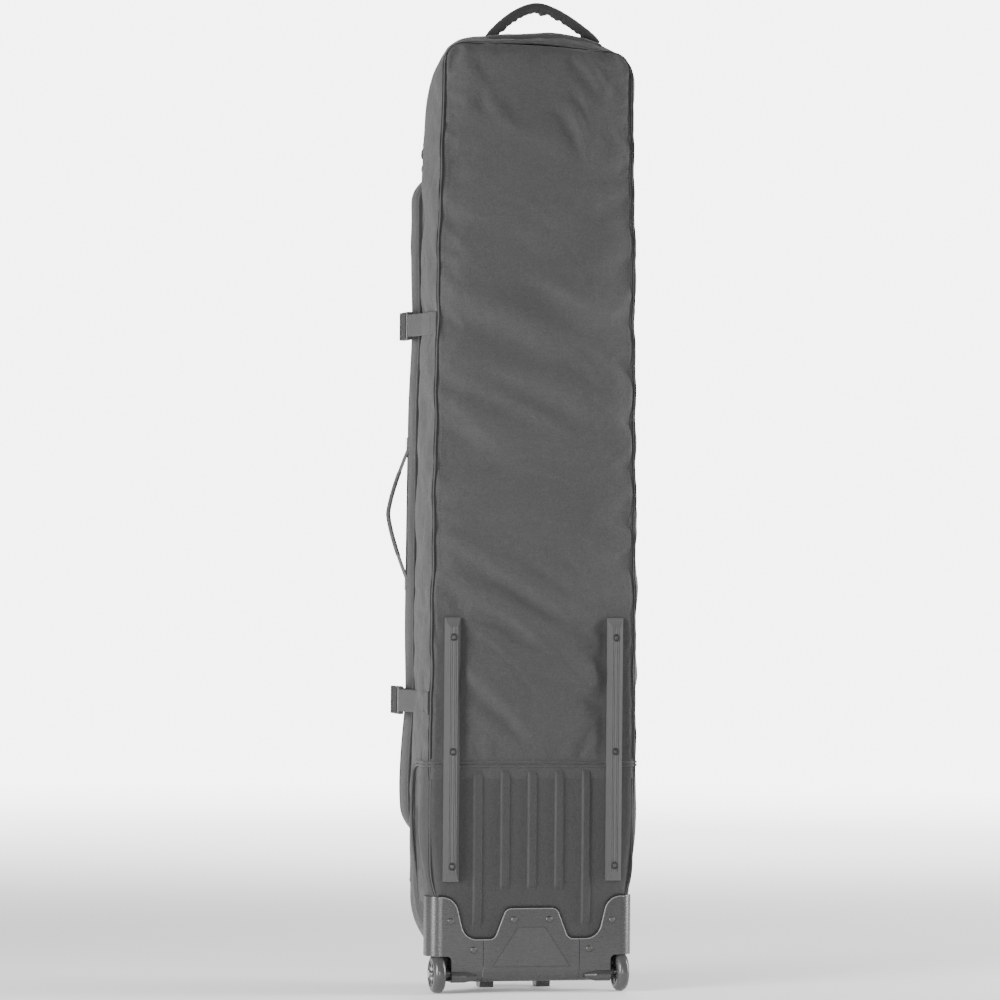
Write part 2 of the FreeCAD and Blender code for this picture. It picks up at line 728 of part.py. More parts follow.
def wheel():
    """The right wheel with its bearings, axle bolt and nut, and the left one's mirror image."""
    hub_at = ("wheel_x", "wheel_depth", "wheel_radius")

    def disc(name, radius, low, high):
        start = (f"wheel_x + ({low})", hub_at[1], hub_at[2])
        return rod(name, radius, f"({high}) - ({low})", start, "X")

    blank = disc("TyreBlank", "wheel_radius", "-tyre_width / 2", "tyre_width / 2")
    document.recompute()
    rim = float(sheet.get("wheel_radius"))
    soft = rounded("TyreRound", blank, "tyre_round", lambda edge: edge.BoundBox.ZLength > rim and
                   edge.BoundBox.XLength < 0.01)
    tyre = cut("RightTyre", soft, disc("TyreBore", "hub_radius", "-tyre_width", "tyre_width"))

    windows = []
    for step in range(6):
        turn = f"{step * 60} deg"
        start = ("wheel_x - tyre_width", f"wheel_depth + hub_window_ring * cos({turn})",
                 f"wheel_radius + hub_window_ring * sin({turn})")
        windows.append(rod(f"HubWindow{step}", "hub_window", "2 * tyre_width", start, "X"))
    seats = [disc("HubBore", "bearing_radius - 2", "-tyre_width", "tyre_width"),
             disc("InnerSeat", "bearing_radius", "-tyre_width", "bearing_width - hub_width / 2"),
             disc("OuterSeat", "bearing_radius", "hub_width / 2 - bearing_width", "tyre_width")]
    hub_blank = disc("HubBlank", "hub_radius", "-hub_width / 2", "hub_width / 2")
    hub = cut("RightHub", hub_blank, fuse("HubHollows", windows + seats))

    rings = [disc("InnerRing", "bearing_radius", "-hub_width / 2", "bearing_width - hub_width / 2"),
             disc("OuterRing", "bearing_radius", "hub_width / 2 - bearing_width", "hub_width / 2")]
    bores = [disc("InnerRingBore", "bearing_bore", "-tyre_width", "0"),
             disc("OuterRingBore", "bearing_bore", "0", "tyre_width")]
    bearings = group("RightBearings", [cut("InnerBearing", rings[0], bores[0]),
                                       cut("OuterBearing", rings[1], bores[1])])

    nut_x = "well_x - base_skin - gap - nut_width"
    shank_start = (f"{nut_x} - 2", hub_at[1], hub_at[2])
    shank = rod("AxleShank", "axle_radius", f"wheel_x + tyre_width / 2 + 1 - ({nut_x} - 2)", shank_start, "X")
    head = disc("AxleHead", "boss_radius - 1.5", "tyre_width / 2 + 0.5", "tyre_width / 2 + 4")
    bolt = fuse("RightAxleBolt", [shank, head])
    nut_blank = document.addObject("Part::Prism", "NutBlank")
    nut_blank.Polygon = 6
    bind(nut_blank, {"Circumradius": "nut_radius", "Height": "nut_width"})
    nut_blank.Placement = FreeCAD.Placement(V(), FreeCAD.Rotation(V(0, 1, 0), 90))
    place(nut_blank, nut_x, hub_at[1], hub_at[2])
    nut_bore = rod("NutBore", "bearing_bore", "3 * nut_width", (f"{nut_x} - nut_width", *hub_at[1:]), "X")
    nut = cut("RightNut", nut_blank, nut_bore)
    for piece, label in ((tyre, "tyre"), (hub, "hub"), (bearings, "bearings"), (bolt, "axle_bolt"),
                         (nut, "axle_nut")):
        node(piece, f"right_{label}")
        node(mirrored("Left" + piece.Name, piece), f"left_{label}")


# ---------------------------------------------------------------- lid and zip

def lid_outline(inset):
    return both_sides([(f"side_x - {inset}", f"lid_low_z + {inset}"), (f"side_x - {inset}", "waist_z"),
                       (f"lid_top_x - {inset}", f"lid_high_z - {inset}")])


def rounded_lid_plate(name, inset, radius, back, front):
    body = plate(name, lid_outline(inset), back, front)
    document.recompute()
    bounds = body.Shape.BoundBox
    soften(body, name + "Corners", radius,
           lambda edge: at_height(edge, bounds.ZMin) or at_height(edge, bounds.ZMax))
    return body


def lid():
    ring_front = "lid_front - wall - gap"
    ring = rounded_lid_plate("LidRingOuter", "0", "lid_radius", "lid_back", ring_front)
    hollow = rounded_lid_plate("LidRingInner", "wall", "lid_inner_radius", "lid_back - 5", "lid_front")
    node(cut("LidGusset", ring, hollow), "lid_gusset")
    front = rounded_lid_plate("LidFront", "0", "lid_radius", "lid_front - wall", "lid_front")
    node(front, "lid_front")


def zip_tape(name, label, back):
    """One half of the zip. It runs down three sides of the lid and stops at the fabric hinge."""
    front = f"{back} + zip_skin"
    ring = rounded_lid_plate(name + "Outer", "0", "lid_radius", back, front)
    hollow = rounded_lid_plate(name + "Inner", "zip_width", "lid_inner_radius", "case_depth - 5", "lid_front")
    hinge_side = block(name + "HingeSide", ("zip_end_x", "case_depth - 9", "0"),
                       ("side_x + 9", "lid_front", "top_z"))
    node(cut(name, ring, fuse(name + "Rooms", [hollow, hinge_side])), label)


def zip_sliders():
    for side, sign in (("left", "-"), ("right", "")):
        centre = f"{sign}slider_x"
        low = (f"{centre} - slider_length / 2", "case_depth + 0.5", "lid_high_z + 2 * gap")
        high = (f"{centre} + slider_length / 2", "case_depth + 0.5 + slider_depth",
                "lid_high_z + 2 * gap + slider_thick")
        slider = block(f"Slider{side}", low, high)
        document.recompute()
        top = slider.Shape.BoundBox.ZMax
        soft = rounded(f"Slider{side}Round", slider, "rivet_round",
                       lambda edge: abs(middle(edge).z - top) < 0.01)
        node(soft, f"zip_slider_{side}")
        start = "case_depth + 1 + slider_depth"
        blade = block(f"Pull{side}Blade", (f"{centre} - pull_width / 2", start, "lid_high_z + pull_thick"),
                      (f"{centre} + pull_width / 2", f"{start} + pull_length", "lid_high_z + 2 * pull_thick"))
        window = block(f"Pull{side}Window", (f"{centre} - 2", f"{start} + pull_length - 12", "lid_high_z"),
                       (f"{centre} + 2", f"{start} + pull_length - 5", "lid_high_z + 9"))
        node(cut(f"Pull{side}", blade, window), f"zip_pull_{side}")


# ---------------------------------------------------------------- straps and buckles

def compression_strap(prefix, label, height, standoff):
    """One strap. On the left it runs out to a buckle that stands this far off the case."""
    low_z, high_z = f"{height} - web_width / 2", f"{height} + web_width / 2"
    skin, outside = "side_x + gap", "side_x + gap + web"
    near, far = f"{skin} + {standoff}", f"{outside} + {standoff}"

    def web(name, x, y):
        return block(prefix + name, (x[0], y[0], low_z), (x[1], y[1], high_z))

    face, over = "lid_front + gap", "lid_front + gap + web"
    strap = fuse(prefix + "Strap", [web("Front", (f"-({far})", outside), (face, over)),
                                    web("Left", (f"-({far})", f"-({near})"), ("latch_front - 6", over)),
                                    web("Right", (skin, outside), ("lap_back", over))])
    node(strap, f"{label}_strap")
    run = body_at(prefix + "TabRun", height=low_z)
    line = [(f"-({skin})", "tab_back"), (f"-({skin})", "tab_bend"),
            (f"-({near})", "tab_bend + tab_rise"), (f"-({near})", "tab_front"),
            (f"-({far})", "tab_front"), (f"-({far})", "tab_bend + tab_rise"),
            (f"-({outside})", "tab_bend"), (f"-({outside})", "tab_back")]
    pad(run, prefix + "TabRunPad", "XY_Plane", line, "web_width")
    fold = web("TabFold", (f"-({outside}) - tab_fold", f"-({skin}) - 0.5"), ("tab_back", "tab_fold_front"))
    node(fuse(prefix + "Tab", [run, fold]), f"{label}_strap_tab")
    node(web("Anchor", (skin, outside), ("tab_back", "anchor_front")), f"{label}_strap_anchor")

    inner, outer = f"-({far}) - gap", f"-({far}) - gap - buckle_thick"
    half = "buckle_width / 2"

    def shell(name, back, front):
        made = block(prefix + name, (outer, back, f"{height} - {half}"), (inner, front, f"{height} + {half}"))
        document.recompute()
        side = made.Shape.BoundBox.XMin
        return rounded(f"{prefix}{name}Round", made, "buckle_round",
                       lambda edge: abs(middle(edge).x - side) < 0.01)

    def slot(name, back):
        return block(prefix + name, (f"{outer} - 1", back, f"{low_z} - 1"),
                     (f"{inner} + 1", f"{back} + webbing_slot", f"{high_z} + 1"))

    cavity = block(prefix + "Cavity", (f"{outer} + socket_skin", "socket_cavity", f"{height} - {half} + 3"),
                   (f"{inner} - socket_skin", "socket_front + 5", f"{height} + {half} - 3"))
    socket = cut(prefix + "Socket", shell("SocketShell", "socket_back", "socket_front"),
                 fuse(prefix + "SocketRooms", [cavity, slot("SocketSlot", "socket_back + 3")]))
    node(socket, f"{label}_buckle_socket")

    latch_back = "socket_front + 0.5"
    base = cut(prefix + "LatchBase", shell("LatchShell", latch_back, "latch_front"),
               slot("LatchSlot", "latch_front - 3 - webbing_slot"))
    prongs = []
    centre_x = f"{inner} - buckle_thick / 2"
    for step in range(-1, 2):
        across = f"{height} + {step} * (buckle_width / 2 - 3 - prong_width)"
        low = (f"{centre_x} - prong_thick / 2", f"{latch_back} - prong_length", f"{across} - prong_width / 2")
        high = (f"{centre_x} + prong_thick / 2", f"{latch_back} + 1", f"{across} + prong_width / 2")
        prongs.append(block(f"{prefix}Prong{step + 2}", low, high))
    node(fuse(prefix + "Latch", [base, *prongs]), f"{label}_buckle_latch")


# ---------------------------------------------------------------- handles

def haul_handle():
    """The padded handle on top: an arch of round section whose ends stand just above its patch."""
    grip = document.addObject("Part::Torus", "HaulGrip")
    bind(grip, {"Radius1": "haul_arch_radius", "Radius2": "haul_radius", "Angle3": "180 - 2 * haul_start"})
    upright = FreeCAD.Rotation(V(1, 0, 0), 90)
    first_end = FreeCAD.Rotation(V(0, 0, 1), float(sheet.get("haul_start")))
    grip.Placement = FreeCAD.Placement(V(), upright * first_end)
    node(place(grip, "haul_x", "haul_depth", "haul_centre_z"), "haul_handle")
    low = ("haul_x - patch_half", "haul_depth - patch_width / 2", "top_z + gap")
    high = ("haul_x + patch_half", "haul_depth + patch_width / 2", "top_z + gap + patch_thick")
    node(block("HandlePatch", low, high), "handle_patch")


def carry_handle():
    """The webbing handle on the lid's edge: two sewn ends and the loop that bows out between them."""
    back, front = "carry_depth - carry_width / 2", "carry_depth + carry_width / 2"
    skin = "side_x + gap"
    ends = []
    for step, side in enumerate(("-", "+")):
        foot = f"carry_z {side} carry_half"
        toe_end = f"carry_z {side} (carry_half - carry_foot)"
        tip = f"carry_z {side} (carry_loop_half + 2)"
        corners = [(f"-({skin})", foot), (f"-({skin})", toe_end), ("carry_thick / 2 - carry_start_x", tip),
                   ("-carry_start_x - carry_thick / 2", tip), (f"-({skin}) - carry_thick", toe_end),
                   (f"-({skin}) - carry_thick", foot)]
        ends.append(plate(f"CarryEnd{step}", corners, back, front))
    node(group("CarryEnds", ends), "carry_handle_ends")

    chord = "carry_loop_half"
    radius = f"({chord} * {chord} + carry_bow * carry_bow) / (2 * carry_bow)"
    centre = (f"-carry_start_x - carry_bow + {radius}", back, "carry_z")
    rims = [rod(f"CarryRim{step}", f"{radius} {half} carry_thick / 2", "carry_width", centre, "Y")
            for step, half in enumerate(("+", "-"))]
    band = cut("CarryBand", *rims)
    room = block("CarryRoom", ("-carry_start_x - 2 * carry_bow", back, f"carry_z - {chord}"),
                 ("-carry_start_x + 2", front, f"carry_z + {chord}"))
    node(common("CarryLoop", band, room), "carry_handle")


# ---------------------------------------------------------------- the whole bag

back_panel()
back_stiffener()
gusset()
top_cap()
hood_fronts()
toe()
lower_back_panel()
panel_piping()
tray = base_moulding()
wheel_housing(tray)
kick_plate(tray)
front_feet()
base_rivets()
skid_rails()
wheel()
lid()
zip_tape("ZipBody", "zip_tape_body", "case_depth + gap")
zip_tape("ZipLid", "zip_tape_lid", "lid_back - gap - zip_skin")
zip_sliders()
compression_strap("Upper", "upper", "upper_strap_z", "upper_standoff")
compression_strap("Lower", "lower", "lower_strap_z", "lower_standoff")
haul_handle()
carry_handle()
document.recompute()

for thing in document.Objects:
    if "Invalid" in thing.State or "Error" in thing.State:
        raise SystemExit(f"{thing.Name} failed: {thing.State}")
for piece in nodes:
    if piece.Shape.isNull() or not piece.Shape.isValid() or piece.Shape.Volume <= 0:
        raise SystemExit(f"{piece.Label} has no valid shape")

os.makedirs("parts", exist_ok=True)
for piece in nodes:
    piece.Shape.exportStep(f"parts/{piece.Label}.step")
print(len(nodes), "sub-parts written")
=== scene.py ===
import math
import random

import bpy
import numpy as np
from mathutils import Matrix, Vector, noise


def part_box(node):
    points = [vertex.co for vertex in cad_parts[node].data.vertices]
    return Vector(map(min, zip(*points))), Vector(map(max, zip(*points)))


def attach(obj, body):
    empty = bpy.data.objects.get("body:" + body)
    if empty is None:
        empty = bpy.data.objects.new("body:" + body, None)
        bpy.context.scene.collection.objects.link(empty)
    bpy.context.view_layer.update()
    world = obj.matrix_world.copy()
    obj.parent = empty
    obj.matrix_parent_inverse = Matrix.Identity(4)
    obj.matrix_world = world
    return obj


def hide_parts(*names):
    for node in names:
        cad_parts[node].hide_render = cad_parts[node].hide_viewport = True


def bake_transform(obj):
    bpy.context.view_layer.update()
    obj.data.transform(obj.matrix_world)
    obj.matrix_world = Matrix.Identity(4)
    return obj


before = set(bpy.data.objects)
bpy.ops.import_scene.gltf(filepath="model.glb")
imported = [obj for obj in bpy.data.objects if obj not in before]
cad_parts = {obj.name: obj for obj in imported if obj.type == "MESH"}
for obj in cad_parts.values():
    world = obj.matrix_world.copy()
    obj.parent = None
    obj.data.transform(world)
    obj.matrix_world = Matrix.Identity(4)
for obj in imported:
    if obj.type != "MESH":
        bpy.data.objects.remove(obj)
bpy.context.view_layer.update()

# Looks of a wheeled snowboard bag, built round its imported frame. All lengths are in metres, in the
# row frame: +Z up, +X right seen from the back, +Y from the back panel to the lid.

# ---------------------------------------------------------------- measures, from the frame

BACK_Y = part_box("back_panel")[0].y
SIDE_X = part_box("right_gusset")[1].x
CASE_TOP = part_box("top_cap")[1].z
ZIP_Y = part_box("bottom_hood_front")[1].y
TOE_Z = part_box("bottom_hood_front")[0].z
LID_LOW, LID_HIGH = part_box("lid_front")[0].z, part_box("lid_front")[1].z
PANEL_LOW, PANEL_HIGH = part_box("lower_back_panel")[0].z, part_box("lower_back_panel")[1].z
WING_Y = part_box("lower_back_panel")[1].y
BASE_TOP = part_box("wheel_housing_right")[1].z
BASE_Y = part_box("wheel_housing_right")[1].y
RAIL_LOW, RAIL_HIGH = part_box("skid_rail_right")
LID_RADIUS = 0.050
TOE_RADIUS = 0.126
TOP_CORNER = 0.030         # radius of the back panel's upper corners
CASE_DEPTH = 0.148         # from the back panel's seam to the zip
HINGE_Y = ZIP_Y + 0.002

STRAPS = ("upper", "lower")
STRAP_HALF = 0.019         # half the straps' width
SIDES = ((-1, "left"), (1, "right"))
UPRIGHT = (0.0, 0.0, 1.0)

SKIN = 0.004               # padded fabric
DOME = 0.006               # the top's rise in its middle
random.seed(7)


def table(points, spread=0.02):
    """A smooth curve of one value through a few (place, value) points."""
    places, values = zip(*points)

    def curve(at):
        at = np.asarray(at, float)
        steps = (-1.5, -0.5, 0.5, 1.5)
        return sum(np.interp(at + step * spread, places, values) for step in steps) / len(steps)

    return curve


# Half widths by height. The case pulls in at the two straps and is fullest above the base.
sewn_half = table([(0.39, SIDE_X), (0.82, SIDE_X - 0.004), (1.33, SIDE_X - 0.0095), (1.515, SIDE_X - 0.016)])
full_half = table([(0.10, 0.1765), (0.17, 0.1775), (0.22, 0.182), (0.32, 0.1845), (0.42, 0.1825),
                   (0.49, 0.1795), (0.65, 0.1815), (0.90, 0.1795), (1.05, 0.178), (1.133, 0.1745),
                   (1.25, 0.1765), (1.48, 0.1725)])
panel_half = table([(0.08, 0.1738), (0.168, 0.1742), (0.21, 0.181), (0.28, 0.1885), (0.34, 0.188),
                    (0.392, 0.1855)])
lid_half = table([(0.256, 0.176), (0.32, 0.1830), (0.42, 0.1795), (0.49, 0.1730), (0.60, 0.1755),
                  (0.81, 0.1745), (1.0, 0.1735), (1.133, 0.1680), (1.25, 0.1715), (1.365, 0.1720)])
# Depth of the lid's front edge by height.
lid_edge = table([(0.256, 0.100), (0.35, 0.109), (0.49, 0.1015), (0.65, 0.104), (0.90, 0.102), (1.133, 0.0965),
                  (1.25, 0.098), (1.365, 0.093)])


def seam_half(z):
    """Half width of the back panel's seam, which wanders a little from its straight line."""
    z = np.asarray(z, float)
    drift = 0.0011 * np.sin(z * 31 + 0.6) + 0.0007 * np.sin(z * 74 + 2.0)
    return sewn_half(z) + drift * smooth(0.40, 0.50, z) * (1 - smooth(1.40, 1.50, z))


def top_sag(x, z):
    """How far the case's top hangs lower towards the right."""
    return 0.0095 * smooth(-0.02, 0.17, x) * smooth(1.50, 1.60, z)


def top_crown(x, deep):
    """How far the padding lifts the case's top on its right, beside the handle's foot."""
    return 0.0075 * smooth(-0.02, 0.05, x) * (1 - smooth(0.085, 0.140, x)) \
        * smooth(0.004, 0.030, deep) * (1 - smooth(0.09, 0.13, deep))


def toe_half(z):
    """Half width of the case's rounded foot at a height."""
    below = np.clip(TOE_Z + TOE_RADIUS - np.asarray(z, float), 0.0, TOE_RADIUS)
    return 0.1775 - TOE_RADIUS + np.sqrt(TOE_RADIUS ** 2 - below ** 2)


def smooth(low, high, at):
    """0 below low, 1 above high and a smooth step between."""
    share = np.clip((np.asarray(at, float) - low) / (high - low), 0.0, 1.0)
    return share * share * (3 - 2 * share)


# ---------------------------------------------------------------- mesh helpers

def link(obj):
    bpy.context.scene.collection.objects.link(obj)
    return obj


def mesh_object(name, verts, faces, run=None):
    mesh = bpy.data.meshes.new(name)
    mesh.from_pydata([tuple(v) for v in verts], [], faces)
    if run is not None:
        layer = mesh.attributes.new("run", "FLOAT_VECTOR", "POINT")
        layer.data.foreach_set("vector", np.asarray(run, np.float32).ravel())
    mesh.polygons.foreach_set("use_smooth", [True] * len(mesh.polygons))
    mesh.update()
    return link(bpy.data.objects.new(name, mesh))


def sheet_faces(rows, columns, round_rows=False, round_columns=False, flip=False):
    faces = []
    for i in range(rows if round_rows else rows - 1):
        for j in range(columns if round_columns else columns - 1):
            here = i * columns + j
            right = i * columns + (j + 1) % columns
            up = ((i + 1) % rows) * columns + j
            corner = ((i + 1) % rows) * columns + (j + 1) % columns
            faces.append((here, up, corner, right) if flip else (here, right, corner, up))
    return faces


def sheet(name, points, flip=False, round_columns=False):
    """A quad sheet through a rows x columns x 3 array."""
    rows, columns, _ = points.shape
    faces = sheet_faces(rows, columns, round_columns=round_columns, flip=flip)
    return mesh_object(name, points.reshape(-1, 3), faces)


def border(shape):
    """A mask of a grid's four edges."""
    held = np.zeros(shape, bool)
    held[[0, -1], :] = True
    held[:, [0, -1]] = True
    return held


def move_points(mesh, spots):
    mesh.vertices.foreach_set("co", spots.astype(np.float32).ravel())
    mesh.update()


def modifier(obj, kind, **settings):
    made = obj.modifiers.new(kind.title(), kind)
    for key, value in settings.items():
        setattr(made, key, value)
    return made


def thicken(obj, thickness, levels=1, offset=-1.0):
    """Gives a sheet its thickness, inwards from its face, and rounds it."""
    modifier(obj, "SOLIDIFY", thickness=thickness, offset=offset)
    if levels:
        modifier(obj, "SUBSURF", levels=levels, render_levels=levels)
    return obj


def applied(obj):
    """The object with its modifiers made part of its mesh."""
    bpy.context.view_layer.update()
    evaluated = obj.evaluated_get(bpy.context.evaluated_depsgraph_get())
    mesh = bpy.data.meshes.new_from_object(evaluated)
    obj.modifiers.clear()
    obj.data = mesh
    return obj


def finish_piece(obj, stuff, body=None, replaces=()):
    obj.data.materials.clear()
    obj.data.materials.append(stuff)
    if body:
        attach(obj, body)
    if replaces:
        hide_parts(*replaces)
    return obj


def frames_along(path, across):
    """The path with the tangent, across and outward directions at each point; across stays near a given one."""
    path = np.asarray(path, float)
    tangent = np.gradient(path, axis=0)
    tangent /= np.linalg.norm(tangent, axis=1)[:, None]
    side = np.asarray(across, float) - (tangent @ np.asarray(across, float))[:, None] * tangent
    side /= np.linalg.norm(side, axis=1)[:, None]
    return path, tangent, side, np.cross(tangent, side)


def lengths_along(path):
    return np.concatenate([[0.0], np.cumsum(np.linalg.norm(np.diff(path, axis=0), axis=1))])


def closed_tube(name, rings, along, around):
    """A tube through equal rings of points, with its ends closed."""
    rows, columns = len(rings), len(rings[0])
    verts = np.concatenate([np.asarray(ring) for ring in rings])
    faces = sheet_faces(rows, columns, round_columns=True)
    faces.append(tuple(range(columns - 1, -1, -1)))
    faces.append(tuple((rows - 1) * columns + j for j in range(columns)))
    run = [(along[i], around[j], 0.0) for i in range(rows) for j in range(columns)]
    return mesh_object(name, verts, faces, run)


def band(name, path, across, width, thick, corner=0.35):
    """A webbing strap: a flat rounded section carried along a path."""
    path, _, side, out = frames_along(path, across)
    section = []
    for turn in np.linspace(0, 2 * math.pi, 20, endpoint=False):
        c, s = math.cos(turn), math.sin(turn)
        section.append((math.copysign(abs(c) ** corner, c) * width / 2,
                        math.copysign(abs(s) ** 0.6, s) * thick / 2))
    rings = [p + np.outer([a for a, _ in section], w) + np.outer([b for _, b in section], n)
             for p, w, n in zip(path, side, out)]
    return closed_tube(name, rings, lengths_along(path), [a for a, _ in section])


def tube(name, path, radius, across=(0.0, 1.0, 0.0), sides=10):
    path, _, side, out = frames_along(path, across)
    turns = np.linspace(0, 2 * math.pi, sides, endpoint=False)
    radius = np.broadcast_to(radius, len(path))
    rings = [p + r * (np.outer(np.cos(turns), w) + np.outer(np.sin(turns), n))
             for p, w, n, r in zip(path, side, out, radius)]
    return closed_tube(name, rings, lengths_along(path), turns * 0.002)


def evenly(path, pitch):
    """Points on a path at an even pitch."""
    path = np.asarray(path, float)
    run = lengths_along(path)
    count = max(2, int(round(run[-1] / pitch)) + 1)
    places = np.linspace(0, run[-1], count)
    return np.stack([np.interp(places, run, path[:, axis]) for axis in range(3)], axis=1)


def rounded_path(corners, radius, pitch=0.004):
    """A path through corners, each turned on an arc-like curve of about this radius."""
    corners = [Vector(c) for c in corners]
    points = [corners[0]]
    for before, here, after in zip(corners, corners[1:], corners[2:]):
        reach = min(radius, (before - here).length * 0.45, (after - here).length * 0.45)
        start = here + (before - here).normalized() * reach
        end = here + (after - here).normalized() * reach
        for share in np.linspace(0, 1, 9):
            points.append(start.lerp(here, share).lerp(here.lerp(end, share), share))
    points.append(corners[-1])
    return evenly([tuple(p) for p in points], pitch)


def stitches(name, paths, pitch=0.0040, length=0.0028, thick=0.00045, body="case"):
    """Rows of thread: one small spindle for each stitch, lying along its path."""
    verts, faces = [], []
    for path in paths:
        spots = evenly(path, pitch)
        for here, there in zip(spots[:-1], spots[1:]):
            way = (there - here) / np.linalg.norm(there - here)
            flat = np.cross(way, (0.31, 0.52, 0.79))
            flat /= np.linalg.norm(flat)
            up = np.cross(way, flat)
            centre, first = (here + there) / 2, len(verts)
            verts.append(centre - way * length / 2)
            for turn in range(4):
                angle = turn * math.pi / 2
                verts.append(centre + thick * (math.cos(angle) * flat + math.sin(angle) * up))
            verts.append(centre + way * length / 2)
            for turn in range(4):
                a, b = first + 1 + turn, first + 1 + (turn + 1) % 4
                faces += [(first, b, a), (first + 5, a, b)]
    finish_piece(mesh_object(name, verts, faces), THREAD, body)


# ---------------------------------------------------------------- materials

class Graph:
    """A material's node tree, written as nested calls."""

    def __init__(self, name):
        self.material = bpy.data.materials.new(name)
        self.material.use_nodes = True
        self.tree = self.material.node_tree
        self.shader = self.tree.nodes["Principled BSDF"]

    def add(self, kind, inputs=None, output=0, **settings):
        made = self.tree.nodes.new("ShaderNode" + kind)
        for key, value in settings.items():
            setattr(made, key, value)
        for key, value in (inputs or {}).items():
            if isinstance(value, bpy.types.NodeSocket):
                self.tree.links.new(value, made.inputs[key])
            else:
                made.inputs[key].default_value = value
        return made.outputs[output]

    def maths(self, operation, a, b=0.0):
        return self.add("Math", {0: a, 1: b}, operation=operation)

    def weighted(self, parts):
        """The sum of values, each times its weight."""
        total = None
        for value, weight in parts:
            part = self.maths("MULTIPLY", value, weight)
            total = part if total is None else self.maths("ADD", total, part)
        return total

    def noise(self, where, scale, detail=3.0, roughness=0.5):
        inputs = {"Vector": where, "Scale": scale, "Detail": detail, "Roughness": roughness}
        return self.add("TexNoise", inputs, output="Fac")

    def stretched(self, where, scale, turn=(0.0, 0.0, 0.0)):
        """Coordinates scaled unevenly, so that noise on them runs in streaks."""
        return self.add("Mapping", {"Vector": where, "Scale": scale, "Rotation": turn})

    def ramp(self, value, stops):
        made = self.tree.nodes.new("ShaderNodeValToRGB")
        self.tree.links.new(value, made.inputs[0])
        ramp = made.color_ramp
        while len(ramp.elements) < len(stops):
            ramp.elements.new(0.5)
        for element, (place, colour) in zip(ramp.elements, stops):
            element.position = place
            element.color = (*colour, 1.0)
        return made.outputs[0]

    def spread(self, value, low, high):
        """Maps 0..1 to low..high."""
        return self.add("MapRange", {"Value": value, "To Min": low, "To Max": high})

    def bump(self, height, distance, normal=None):
        inputs = {"Height": height, "Distance": distance, "Strength": 1.0}
        if normal is not None:
            inputs["Normal"] = normal
        return self.add("Bump", inputs)

    def finish(self, colour, roughness, normal, **constants):
        self.tree.links.new(colour, self.shader.inputs["Base Color"])
        self.tree.links.new(roughness, self.shader.inputs["Roughness"])
        self.tree.links.new(normal, self.shader.inputs["Normal"])
        for key, value in constants.items():
            self.shader.inputs[key.replace("_", " ")].default_value = value
        return self.material


def grey(level, warm=0.0):
    return (level * (1 + warm), level, level * (1 - warm))


def weave(graph, where, pitch):
    """Crossing threads on whichever of the three planes the surface faces."""
    axes = graph.add("SeparateXYZ", {0: where}).node.outputs
    waves = [graph.maths("SINE", graph.maths("MULTIPLY", axis, 2 * math.pi / pitch)) for axis in axes]
    facing = graph.add("NewGeometry", output="Normal")
    sides = graph.add("SeparateXYZ", {0: facing}).node.outputs
    parts = []
    for skipped in range(3):
        one, other = [waves[i] for i in range(3) if i != skipped]
        share = graph.maths("MULTIPLY", sides[skipped], sides[skipped])
        parts.append((graph.maths("MULTIPLY", one, other), share))
    return graph.maths("ADD", graph.maths("MULTIPLY", graph.weighted(parts), 0.5), 0.5)


def fabric(name, level, pitch=0.0012, contrast=0.16, sheen=0.25, rough=0.78, grain=1.0):
    """Woven polyester: threads, slubs, slow colour drift, a little dust sheen."""
    graph = Graph(name)
    where = graph.add("TexCoord", output="Object")
    threads = weave(graph, where, pitch)
    drift = graph.noise(where, 5.0, 4.0)
    slubs = graph.noise(graph.stretched(where, (60.0, 60.0, 900.0)), 1.0, 2.0)
    grains = graph.noise(where, 620.0, 2.0)
    mottle = graph.noise(where, 360.0, 2.0, 0.75)
    mix = graph.weighted([(threads, 0.22), (drift, 0.20), (slubs, 0.12), (grains, 0.16 * grain),
                          (mottle, 0.30 * grain)])
    colour = graph.ramp(mix, [(0.38, grey(level * (1 - contrast))), (0.62, grey(level * (1 + contrast)))])
    rough_out = graph.spread(graph.noise(where, 40.0), rough - 0.08, rough + 0.10)
    normal = graph.bump(graph.noise(where, 90.0, 3.0), 0.0007)
    for height, distance in ((mottle, 0.00030), (grains, 0.00022), (threads, 0.00018)):
        normal = graph.bump(height, distance, normal)
    return graph.finish(colour, rough_out, normal, Sheen_Weight=sheen, Sheen_Roughness=0.45,
                        Specular_IOR_Level=0.28)


def webbing(name, level, ribs=0.0016):
    """Narrow-woven strap: ribs across, a chevron of threads, raised selvedges, a little dirt."""
    graph = Graph(name)
    where = graph.add("TexCoord", output="Object")
    run = graph.add("Attribute", attribute_name="run", output="Vector")
    along, across, _ = graph.add("SeparateXYZ", {0: run}).node.outputs
    slant = graph.maths("ADD", along, graph.maths("PINGPONG", across, 0.0055))
    rib = graph.maths("SINE", graph.maths("MULTIPLY", slant, 2 * math.pi / ribs))
    column = graph.maths("SINE", graph.maths("MULTIPLY", across, 2 * math.pi / 0.0019))
    threads = graph.maths("ADD", graph.maths("MULTIPLY", graph.maths("MULTIPLY", rib, column), 0.5), 0.5)
    dirt = graph.noise(where, 24.0, 4.0)
    mix = graph.weighted([(threads, 0.45), (dirt, 0.55)])
    colour = graph.ramp(mix, [(0.22, grey(level * 0.72)), (0.8, grey(level * 1.25))])
    edge_bump = graph.maths("MULTIPLY", graph.maths("ABSOLUTE", across), 2.0)
    normal = graph.bump(graph.maths("ADD", threads, edge_bump), 0.00035)
    return graph.finish(colour, graph.spread(dirt, 0.58, 0.76), normal, Sheen_Weight=0.2,
                        Specular_IOR_Level=0.35)


